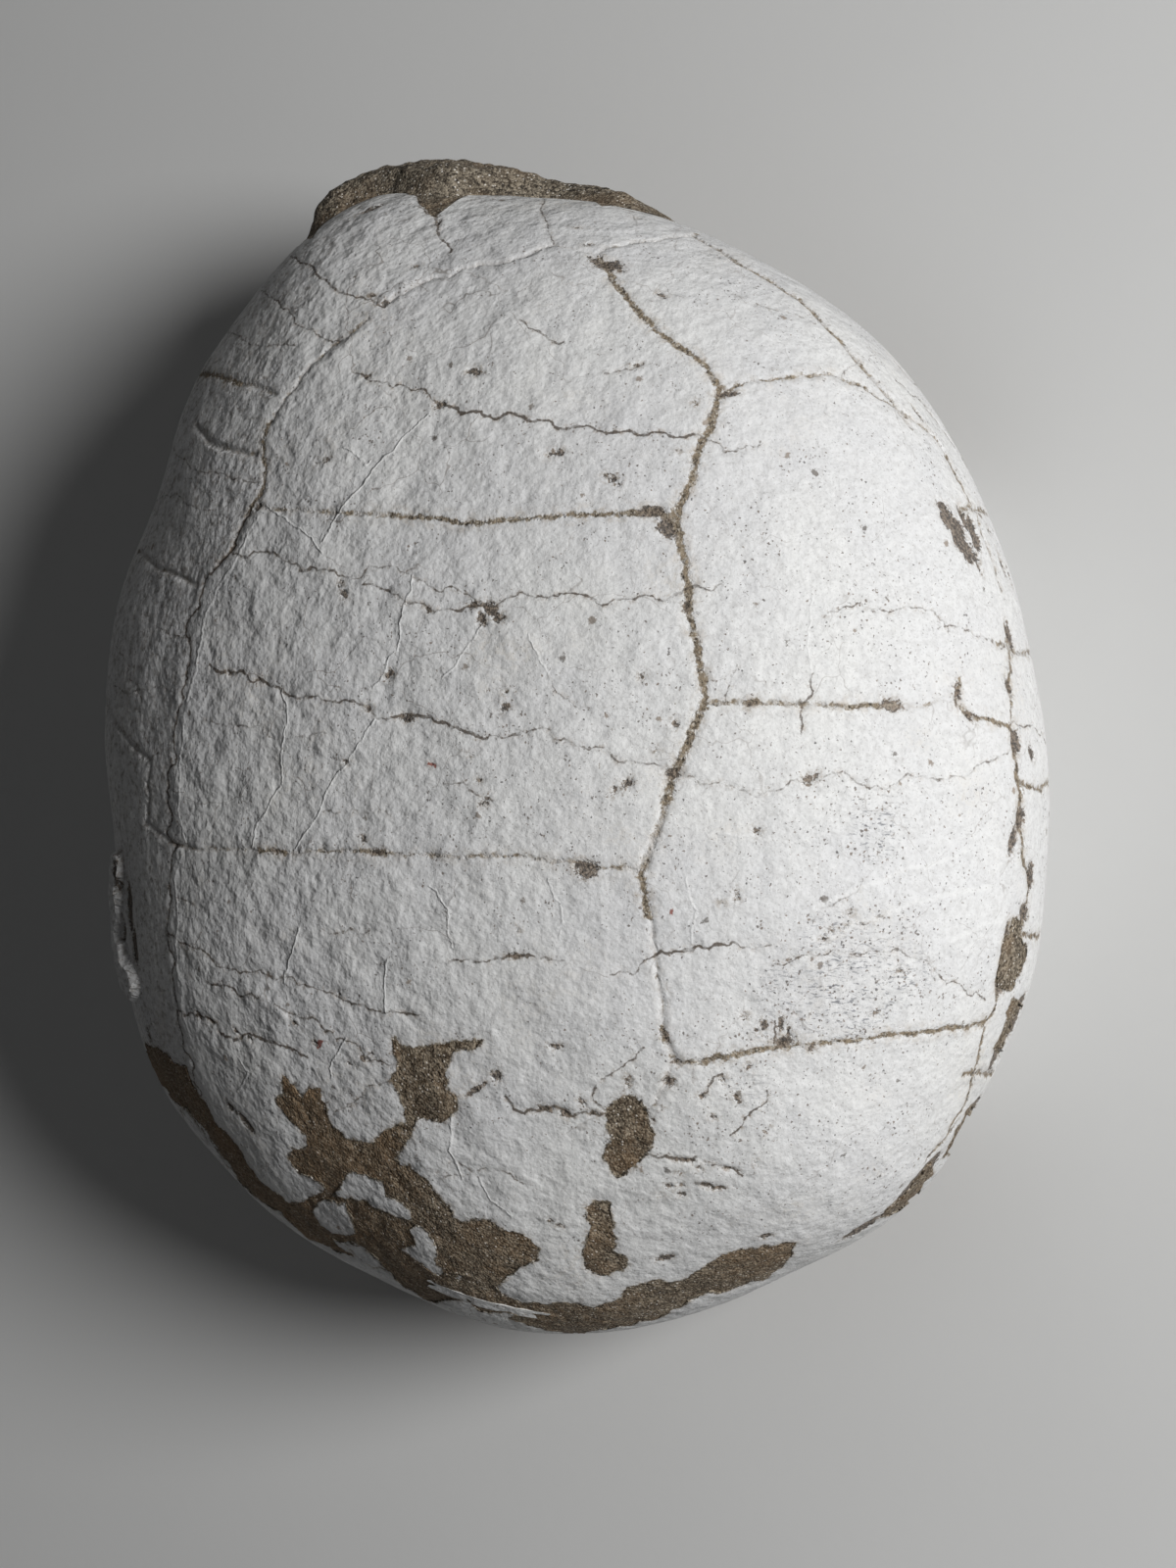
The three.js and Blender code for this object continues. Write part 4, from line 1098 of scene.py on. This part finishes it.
def mark_bone(bone):
    mesh = bone.data
    places, ways, points, normals = placed_vertices(mesh)
    kinds = (("groove", grooves, "fill"), ("crack_and_fold_shadow", cracks_and_fold_shadow, "dark"), ("ridge", ridges, None))
    for name, lines, second in kinds:
        distance, side, values = lines.near(points, normals)
        write_attribute(mesh, name, np.stack([distance, side, values[:, 0]], -1))
        if second:
            write_attribute(mesh, second, values[:, 1])
    _, side, _ = fold.near(points, normals)
    # The flank beyond the fold that faces the camera, away from the key lamp: where the flecks of painted
    # shade and painted highlight go
    seen_side = step_up(facing(points, normals), 0.0, 0.1) * (points[:, 0] < 0)
    write_attribute(mesh, "flank", step_up(FLANK_SIDE * side, -0.5, 0.8) * seen_side)
    distance, _, _ = broken.near(points, normals)
    tail, head = stone_zones(ways)
    edge = np.minimum(distance, MM_PER_DEGREE * np.maximum(0, -np.maximum(tail, head)))
    write_attribute(mesh, "edge", edge)
    write_attribute(mesh, "depth", -((places - points) * normals).sum(1))
    write_attribute(mesh, "spot", np.stack([spot_distance(spots, points), spot_distance(rusts, points),
                                            np.zeros(len(points))], -1))
    specks = np.zeros(len(points))
    for middle, (_, _, radius, strength) in zip(speckled, SPECKLED):
        apart = np.linalg.norm(points - middle, axis=1) / (radius * PIXEL)
        specks = np.maximum(specks, strength * np.exp(-apart ** 2))
    write_attribute(mesh, "specks", specks)


def mark_stone(stone):
    _, _, points, normals = placed_vertices(stone.data)
    distance, _, _ = broken.near(points, normals)
    write_attribute(stone.data, "edge", distance)


# --- Materials --------------------------------------------------------------------------------------------


class Nodes:
    """A short way to write a material's nodes."""

    def __init__(self, name):
        self.material = bpy.data.materials.new(name)
        self.material.use_nodes = True
        self.tree = self.material.node_tree
        self.shader = self.tree.nodes["Principled BSDF"]
        self.place = self.add("ShaderNodeTexCoord").outputs["Object"]

    def add(self, kind, inputs=None, **settings):
        node = self.tree.nodes.new(kind)
        for name, value in settings.items():
            setattr(node, name, value)
        for name, value in (inputs or {}).items():
            self.put(node.inputs[name], value)
        return node

    def put(self, socket, value):
        if isinstance(value, bpy.types.NodeSocket):
            self.tree.links.new(value, socket)
        elif isinstance(value, tuple) and len(value) == 3 and socket.type == "RGBA":
            socket.default_value = (*value, 1)
        else:
            socket.default_value = value

    def math(self, operation, *values):
        return self.add("ShaderNodeMath", dict(enumerate(values)), operation=operation).outputs[0]

    def plus(self, a, b):
        return self.math("ADD", a, b)

    def minus(self, a, b):
        return self.math("SUBTRACT", a, b)

    def times(self, a, b):
        return self.math("MULTIPLY", a, b)

    def vector(self, operation, a, b):
        return self.add("ShaderNodeVectorMath", {0: a, 1: b}, operation=operation).outputs[0]

    def span(self, value, low, high, to_low=0.0, to_high=1.0, smooth=True):
        kind = "SMOOTHSTEP" if smooth else "LINEAR"
        return self.add("ShaderNodeMapRange", {
            "Value": value, "From Min": low, "From Max": high, "To Min": to_low, "To Max": to_high,
        }, interpolation_type=kind).outputs["Result"]

    def noise(self, size, detail=2.0, roughness=0.5, shift=None):
        """Noise of about that size in mm, from 0 to 1."""
        place = self.vector("ADD", self.place, shift) if shift else self.place
        return self.add("ShaderNodeTexNoise", {
            "Vector": place, "Scale": 1000.0 / size, "Detail": detail, "Roughness": roughness,
        }).outputs["Fac"]

    def relief(self, size, amount, detail=2.0, roughness=0.5):
        """The same noise as a height in mm, around 0."""
        return self.times(self.minus(self.noise(size, detail, roughness), 0.5), amount)

    def cells(self, size, feature="F1", vector=None):
        return self.add("ShaderNodeTexVoronoi", {
            "Vector": vector or self.place, "Scale": 1000.0 / size,
        }, feature=feature)

    def tones(self, cells):
        """Three numbers from 0 to 1 that each cell has for itself."""
        return self.add("ShaderNodeSeparateColor", {0: cells.outputs["Color"]}).outputs

    def mix(self, share, a, b):
        node = self.add("ShaderNodeMix", {"Factor": share, 6: a, 7: b}, data_type="RGBA")
        return node.outputs[2]

    def attribute(self, name, output="Fac"):
        return self.add("ShaderNodeAttribute", attribute_name=name).outputs[output]

    def parts(self, name):
        return self.add("ShaderNodeSeparateXYZ", {0: self.attribute(name, "Vector")}).outputs

    def ramp(self, value, *stops):
        node = self.add("ShaderNodeValToRGB", {"Fac": value})
        elements = node.color_ramp.elements
        while len(elements) < len(stops):
            elements.new(0.5)
        for element, (position, colour) in zip(elements, stops):
            element.position = position
            element.color = (*colour, 1)
        return node.outputs["Color"]

    def finish(self, colour, roughness, height):
        """height is in mm."""
        bump = self.add("ShaderNodeBump", {"Height": height, "Distance": 0.001, "Strength": 1.0})
        self.put(self.shader.inputs["Base Color"], colour)
        self.put(self.shader.inputs["Roughness"], roughness)
        self.put(self.shader.inputs["Normal"], bump.outputs[0])
        self.shader.inputs["Specular IOR Level"].default_value = 0.25
        return self.material


# Colours, linear
SAND_DARK = (0.040, 0.033, 0.025)
SAND_MID = (0.150, 0.124, 0.092)
SAND_TAN = (0.33, 0.285, 0.22)
SAND_PALE = (0.70, 0.66, 0.60)
SAND_BLACK = (0.022, 0.019, 0.017)
SAND_RUST = (0.27, 0.17, 0.09)
SAND_DAMP = (0.05, 0.040, 0.031)
BONE_COOL, BONE_WARM = (0.715, 0.715, 0.715), (0.765, 0.765, 0.75)
BONE_GREY = (0.62, 0.625, 0.64)
BONE_HOLLOW, BONE_PORE = (0.45, 0.44, 0.43), (0.38, 0.37, 0.36)
BONE_TEA = (0.56, 0.51, 0.44)
# Painted shade and painted highlight, for flecks on the flank beyond the fold
PAINTED_FLANK_SHADE, PAINTED_FLANK_HIGHLIGHT = (0.26, 0.235, 0.21), (0.90, 0.90, 0.90)
BONE_RIDGE, BONE_WRINKLE = (0.80, 0.80, 0.79), (0.82, 0.82, 0.81)
BONE_CHIP = (0.66, 0.64, 0.61)
BONE_RAW_PALE, BONE_RAW_DARK = (0.50, 0.44, 0.36), (0.24, 0.19, 0.15)
SPECK_BLACK, SPECK_BROWN = (0.035, 0.032, 0.032), (0.19, 0.135, 0.095)
BLOT_DARK, BLOT_BROWN = (0.075, 0.062, 0.05), (0.27, 0.205, 0.15)
SMUDGE = (0.14, 0.145, 0.165)
GROOVE_STAIN, GROOVE_BARE = (0.42, 0.35, 0.27), (0.42, 0.39, 0.36)
GROOVE_DUST, GROOVE_CHALK = (0.30, 0.24, 0.17), (0.52, 0.48, 0.42)
# The dark fill of the cracks, which along the fold is also painted shadow
CRACK_AND_FOLD_SHADOW_DARK, CRACK_CRUMBS, HAIR_CRACK = (0.105, 0.085, 0.068), (0.36, 0.29, 0.225), (0.20, 0.165, 0.14)
PIT_DARK, PIT_BROWN, PIT_HALO = (0.06, 0.05, 0.042), (0.26, 0.21, 0.165), (0.33, 0.28, 0.225)
RUST = (0.23, 0.045, 0.022)
RIM_DIRT = (0.34, 0.27, 0.205)
FLOOR_DARK, FLOOR_LIGHT = (0.70, 0.70, 0.69), (0.73, 0.73, 0.72)

GRAIN, SMALL_GRAIN = 0.54, 0.31  # mm
SPECK_CELL, BLOT_CELL = 0.62, 4.4


def sand(n):
    """Colour and height of packed sand grains about half a millimetre across."""
    grain, small = n.cells(GRAIN), n.cells(SMALL_GRAIN)
    tone, tiny = n.tones(grain), n.tones(small)
    share = n.plus(n.times(tone[0], 0.45), n.times(tiny[1], 0.35))
    share = n.plus(share, n.times(n.noise(7, 3), 0.35))
    colour = n.ramp(share, (0.30, SAND_DARK), (0.52, SAND_MID), (0.76, SAND_TAN))
    pale = n.times(n.span(tone[1], 0.87, 0.90), n.span(grain.outputs["Distance"], 0.46, 0.30))
    colour = n.mix(pale, colour, SAND_PALE)
    colour = n.mix(n.times(n.span(tiny[2], 0.88, 0.91), 0.8), colour, SAND_BLACK)
    height = n.times(n.minus(0.45, grain.outputs["Distance"]), 0.24)
    height = n.plus(height, n.times(n.minus(0.45, small.outputs["Distance"]), 0.10))
    return colour, n.plus(height, n.relief(2.2, 0.8, 3))


def line_mask(n, distance, side, half, wiggle, ragged, soft):
    """1 on a line and 0 beside it, crisp between the mesh's vertices."""
    near = n.math("ABSOLUTE", n.plus(side, wiggle))
    near = n.math("MAXIMUM", near, n.minus(distance, 0.6))
    return n.span(n.minus(n.plus(near, ragged), half), soft, -soft)


def web(n, size, shift, width, low, high):
    """A broken net of thin lines: its mask."""
    moved = n.vector("ADD", n.place, shift)
    bend = n.add("ShaderNodeTexNoise", {
        "Vector": moved, "Scale": 1600.0 / size, "Detail": 3.0, "Roughness": 0.55})
    bend = n.vector("SUBTRACT", bend.outputs["Color"], (0.5, 0.5, 0.5))
    bend = n.add("ShaderNodeVectorMath", {0: bend, "Scale": size * 0.0006}, operation="SCALE").outputs[0]
    distance = n.cells(size, "DISTANCE_TO_EDGE", n.vector("ADD", moved, bend)).outputs["Distance"]
    kept = n.span(n.noise(size * 0.8, 3, 0.6, shift=shift), low, high)
    return n.times(n.span(n.times(distance, size), width, width * 0.25), kept)


def bare_bone(n):
    """The bone's own colour, with painted shade and painted highlight in flecks on the flank beyond the fold.
    """
    fine = n.noise(1.3, 3, 0.6)
    colour = n.mix(n.span(n.noise(34, 3), 0.3, 0.7), BONE_COOL, BONE_WARM)
    colour = n.mix(n.span(n.noise(9, 4, 0.6), 0.35, 0.75, 0, 0.35), colour, BONE_GREY)
    colour = n.mix(n.span(fine, 0.30, 0.60, 0.30, 0), colour, BONE_HOLLOW)
    colour = n.mix(n.span(n.noise(0.5, 2, 0.6), 0.52, 0.72, 0, 0.4), colour, BONE_PORE)
    tea = n.times(n.span(n.noise(22, 4, 0.6, shift=(3, 1, 2)), 0.52, 0.75), n.span(fine, 0.45, 0.6, 0, 0.4))
    colour = n.mix(tea, colour, BONE_TEA)
    # Painted shade and painted highlight: darker and paler flecks only on the flank beyond the fold, the side
    # away from the key lamp
    flank = n.attribute("flank")
    shade_flecks = n.times(flank, n.span(n.noise(1.7, 5, 0.72, shift=(2, 6, 1)), 0.47, 0.66))
    colour = n.mix(n.times(shade_flecks, 0.75), colour, PAINTED_FLANK_SHADE)
    highlight_flecks = n.times(flank, n.span(n.noise(1.2, 4, 0.7, shift=(5, 2, 8)), 0.50, 0.66))
    return n.mix(n.times(highlight_flecks, 0.7), colour, PAINTED_FLANK_HIGHLIGHT)


def with_specks(n, colour):
    """Fine specks, close together where the attribute says, a few larger blots, and smudges."""
    specks = n.attribute("specks")
    dots = n.cells(SPECK_CELL)
    tone = n.tones(dots)
    clusters = n.plus(n.span(n.noise(9, 5, 0.75), 0.47, 0.66, 0.12, 1.1), specks)
    wide = n.times(n.span(tone[0], 0.50, 1.0, 0.0, 0.33), n.math("MINIMUM", clusters, 1.4))
    ragged = n.plus(dots.outputs["Distance"], n.relief(0.45, 2.6, 3, 0.7))
    dot = n.times(n.times(n.span(n.minus(ragged, wide), 0.04, -0.07), 0.8), n.span(wide, 0.01, 0.06))
    colour = n.mix(dot, colour, n.mix(tone[1], SPECK_BLACK, SPECK_BROWN))
    blots = n.cells(BLOT_CELL)
    tone = n.tones(blots)
    wide = n.span(tone[0], 0.62, 1.0, 0.0, 0.15)
    ragged = n.plus(blots.outputs["Distance"], n.relief(0.9, 0.55, 4, 0.75))
    blot = n.times(n.span(n.minus(ragged, wide), 0.03, -0.03), n.span(wide, 0.01, 0.05, 0, 0.75))
    colour = n.mix(blot, colour, n.mix(tone[1], BLOT_DARK, BLOT_BROWN))
    stretched = n.add("ShaderNodeMapping", {"Vector": n.place, "Rotation": (0, 0, 0.5), "Scale": (1, 3.2, 1)})
    streaks = n.add("ShaderNodeTexNoise", {
        "Vector": stretched.outputs[0], "Scale": 620.0, "Detail": 4.0, "Roughness": 0.7}).outputs["Fac"]
    return n.mix(n.times(n.span(streaks, 0.53, 0.64), n.span(specks, 0.30, 0.95, 0, 0.8)), colour, SMUDGE)


def with_grooves(n, colour, sand_colour):
    """Sand and stains in the sulci, and where the sand roughens them."""
    distance, side, half = n.parts("groove")
    fill = n.attribute("fill")
    rough = n.relief(1.5, 2.8, 5, 0.7)
    groove = line_mask(n, distance, side, n.times(half, 0.72), n.relief(2.4, 1.2, 3), rough, 0.22)
    filled = n.times(groove, n.span(n.plus(fill, n.relief(2.6, 2.4, 5, 0.7)), 0.20, 0.70))
    stain = n.times(n.span(distance, 3.0, 0.3), n.span(n.noise(1.8, 4, 0.7), 0.42, 0.70))
    colour = n.mix(n.times(stain, n.times(fill, 0.6)), colour, GROOVE_STAIN)
    colour = n.mix(n.times(groove, 0.30), colour, GROOVE_BARE)
    dusty = n.mix(n.span(n.noise(1.1, 3, 0.6), 0.40, 0.60, 0.10, 0.75), sand_colour, GROOVE_DUST)
    dusty = n.mix(n.span(n.noise(0.7, 3, 0.6, shift=(1, 4, 2)), 0.56, 0.66, 0, 0.7), dusty, GROOVE_CHALK)
    sandy = n.times(n.span(n.minus(distance, half), 0.1, -0.3), n.span(fill, 0.2, 0.6))
    return n.mix(filled, colour, dusty), sandy


def with_cracks(n, colour, left):
    """Sutures and cracks, with painted shadow along the fold's step, then hair-thin cracks and wrinkles all
    over.
    """
    distance, side, half = n.parts("crack_and_fold_shadow")
    dark = n.attribute("dark")
    crack_and_fold_shadow = line_mask(n, distance, side, half, n.relief(1.4, 0.9, 3, 0.6), n.relief(0.9, 0.7, 3, 0.7), 0.10)
    crack_and_fold_shadow = n.times(crack_and_fold_shadow, n.span(n.plus(dark, n.relief(2.2, 2.4, 4, 0.7)), 0.15, 0.85, 0.12, 0.92))
    crumbs = n.times(n.span(distance, 1.1, 0.1), n.span(n.noise(1.1, 4, 0.7), 0.50, 0.62, 0, 0.8))
    colour = n.mix(n.times(crumbs, dark), colour, CRACK_CRUMBS)
    # Dark crack lines; along the fold this is also painted shadow of the step
    colour = n.mix(crack_and_fold_shadow, colour, CRACK_AND_FOLD_SHADOW_DARK)
    hairs = web(n, 19.0, (0.03, 0.01, 0.02), 0.13, 0.46, 0.58)
    colour = n.mix(n.times(hairs, n.span(left, 0, 1, 0.3, 0.6)), colour, HAIR_CRACK)
    wrinkles = web(n, 14.0, (0.11, 0.05, 0.07), 0.30, 0.47, 0.60)
    return n.mix(n.times(wrinkles, 0.28), colour, BONE_WRINKLE)


def with_pits(n, colour):
    """Pits full of sand and flecks of rust, and where the sand roughens them."""
    spot_out, rust_out, _ = n.parts("spot")
    rough = n.plus(n.relief(0.9, 4.2, 4, 0.7), 0.15)
    halo = n.times(n.span(spot_out, 1.6, -0.1), n.span(n.noise(0.7, 4, 0.7), 0.46, 0.62, 0, 0.6))
    colour = n.mix(halo, colour, PIT_HALO)
    grimy = n.mix(n.span(n.noise(0.6, 3, 0.7), 0.42, 0.60), PIT_DARK, PIT_BROWN)
    colour = n.mix(n.times(n.span(n.plus(spot_out, rough), 0.14, -0.22), 0.92), colour, grimy)
    rust = n.span(n.plus(rust_out, n.times(rough, 0.35)), 0.12, -0.1)
    return n.mix(n.times(rust, 0.85), colour, RUST), n.span(spot_out, 0.1, -0.3)


def with_edges(n, colour, sand_colour):
    """Broken edges: a dirty rim, a ragged fringe of sand, and the bone's raw inside."""
    edge = n.attribute("edge")
    rim = n.times(n.span(edge, 1.5, 0.0), n.span(n.noise(1.2, 4, 0.65), 0.42, 0.66, 0, 0.6))
    colour = n.mix(rim, colour, RIM_DIRT)
    fringe = n.span(n.plus(edge, n.relief(1.8, 3.0, 5, 0.75)), 0.45, 0.10)
    colour = n.mix(n.times(fringe, n.span(edge, 1.6, 1.0)), colour, sand_colour)
    inside = n.mix(n.span(n.noise(1.0, 3), 0.4, 0.6), BONE_RAW_PALE, BONE_RAW_DARK)
    return n.mix(n.span(n.attribute("depth"), 0.55, 1.1), colour, inside)


def bone_grain(n, left):
    """The relief under the mesh's own: a crinkled grain, stronger on one flank."""
    height = n.relief(3.0, n.span(left, 0, 1, 0.38, 0.55, smooth=False), 2, 0.5)
    height = n.plus(height, n.relief(1.2, n.span(left, 0, 1, 0.28, 0.37, smooth=False), 3, 0.55))
    return n.plus(height, n.relief(7.0, n.span(left, 0, 1, 0.9, 1.5, smooth=False)))


def bone_material():
    n = Nodes("bone")
    x = n.add("ShaderNodeSeparateXYZ", {0: n.place}).outputs[0]
    left = n.span(x, 0.055, -0.025)
    sand_colour, _ = sand(n)
    colour = with_specks(n, bare_bone(n))
    colour, groove_sand = with_grooves(n, colour, sand_colour)
    colour, pit_sand = with_pits(n, with_cracks(n, colour, left))
    colour = with_edges(n, colour, sand_colour)

    distance, side, half = n.parts("ridge")
    ridge = line_mask(n, distance, side, n.times(half, 0.5), n.relief(1.6, 0.9, 2, 0.6), 0.0, 0.22)
    colour = n.mix(n.times(ridge, 0.4), colour, BONE_RIDGE)
    thin = n.times(n.span(half, 0.75, 0.45), n.span(left, 0, 1, 0.08, 0.17))
    height = n.plus(bone_grain(n, left), n.times(ridge, thin))
    sandy = n.math("MAXIMUM", groove_sand, pit_sand)
    height = n.plus(height, n.times(n.relief(0.7, 0.7, 2, 0.6), sandy))
    return n.finish(colour, n.span(sandy, 0, 1, 0.78, 0.95), height)


def stone_material():
    n = Nodes("sandstone")
    colour, height = sand(n)
    x, y, _ = n.add("ShaderNodeSeparateXYZ", {0: n.place}).outputs
    head_left = n.times(n.span(x, 0.012, -0.02, 0.3, 1.0), n.span(y, -0.02, -0.06))
    rusty = n.plus(n.span(n.noise(12, 4, 0.6), 0.42, 0.70, 0, 0.3), n.times(head_left, 0.4))
    colour = n.mix(rusty, colour, SAND_RUST)
    colour = n.mix(n.span(n.noise(4, 4, 0.6), 0.55, 0.75, 0, 0.5), colour, SAND_DAMP)
    edge = n.attribute("edge")
    ragged = n.plus(edge, n.relief(1.5, 2.6, 5, 0.75))
    chips = n.times(n.span(ragged, -0.15, -0.35), n.span(edge, 1.8, 1.2, 0, 0.85))
    colour = n.mix(chips, colour, BONE_CHIP)
    return n.finish(colour, 0.92, n.plus(height, n.relief(5, 0.9, 3)))


def floor_material():
    n = Nodes("floor")
    colour = n.mix(n.noise(60, 2), FLOOR_DARK, FLOOR_LIGHT)
    return n.finish(colour, 0.9, n.times(n.noise(3, 2), 0.02))


# --- The scene --------------------------------------------------------------------------------------------

BONE_SHARP, STONE_SHARP = 38, 60  # degrees, from where an edge isn't smoothed over


def finish_piece(made, material, node, edge_angle):
    made.data.materials.clear()
    made.data.materials.append(material)
    made.data.shade_smooth()
    made.data.set_sharp_from_angle(angle=math.radians(edge_angle))
    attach(made, "root")
    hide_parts(node)


def area_light(name, place, aim, size, power):
    light = bpy.data.lights.new(name, "AREA")
    light.shape = "DISK"
    light.size = size
    light.energy = power
    made = bpy.data.objects.new(name, light)
    made.location = place
    made.rotation_euler = (Vector(aim) - Vector(place)).to_track_quat("-Z", "Y").to_euler()
    bpy.context.scene.collection.objects.link(made)


def make_camera():
    camera = bpy.data.objects.new("camera", bpy.data.cameras.new("camera"))
    axes = Matrix([[*axis, 0] for axis in (RIGHT, UP, BACK)] + [[0, 0, 0, 1]]).transposed()
    camera.matrix_world = Matrix.Translation(Vector(EYE / 1000)) @ axes
    camera.data.sensor_width = 36
    camera.data.lens = FOCAL / HEIGHT * 36
    camera.data.clip_start = 0.01
    bpy.context.scene.collection.objects.link(camera)
    bpy.context.scene.camera = camera


bone = make_bone()
mark_bone(bone)
finish_piece(bone, bone_material(), "shell", BONE_SHARP)
stone = make_stone()
mark_stone(stone)
finish_piece(stone, stone_material(), "matrix", STONE_SHARP)

FLOOR = 1600  # mm, from its middle to each side
corners = np.array([[-1, -1, 0], [1, -1, 0], [1, 1, 0], [-1, 1, 0]]) * FLOOR
floor = mesh_object("floor", corners, [(0, 1, 2, 3)])
floor.data.materials.append(floor_material())

make_camera()
area_light("key", (0.85, 0.15, 0.60), (0, 0, 0.05), 0.4, 10.0)
area_light("fill", (-0.5, 0.3, 1.2), (0, 0, 0.04), 1.0, 0.2)
world = bpy.data.worlds.new("studio")
world.use_nodes = True
world.node_tree.nodes["Background"].inputs[0].default_value = (0.97, 0.98, 1.0, 1)
world.node_tree.nodes["Background"].inputs[1].default_value = 0.04
bpy.context.scene.world = world
bpy.context.scene.view_settings.view_transform = "Standard"
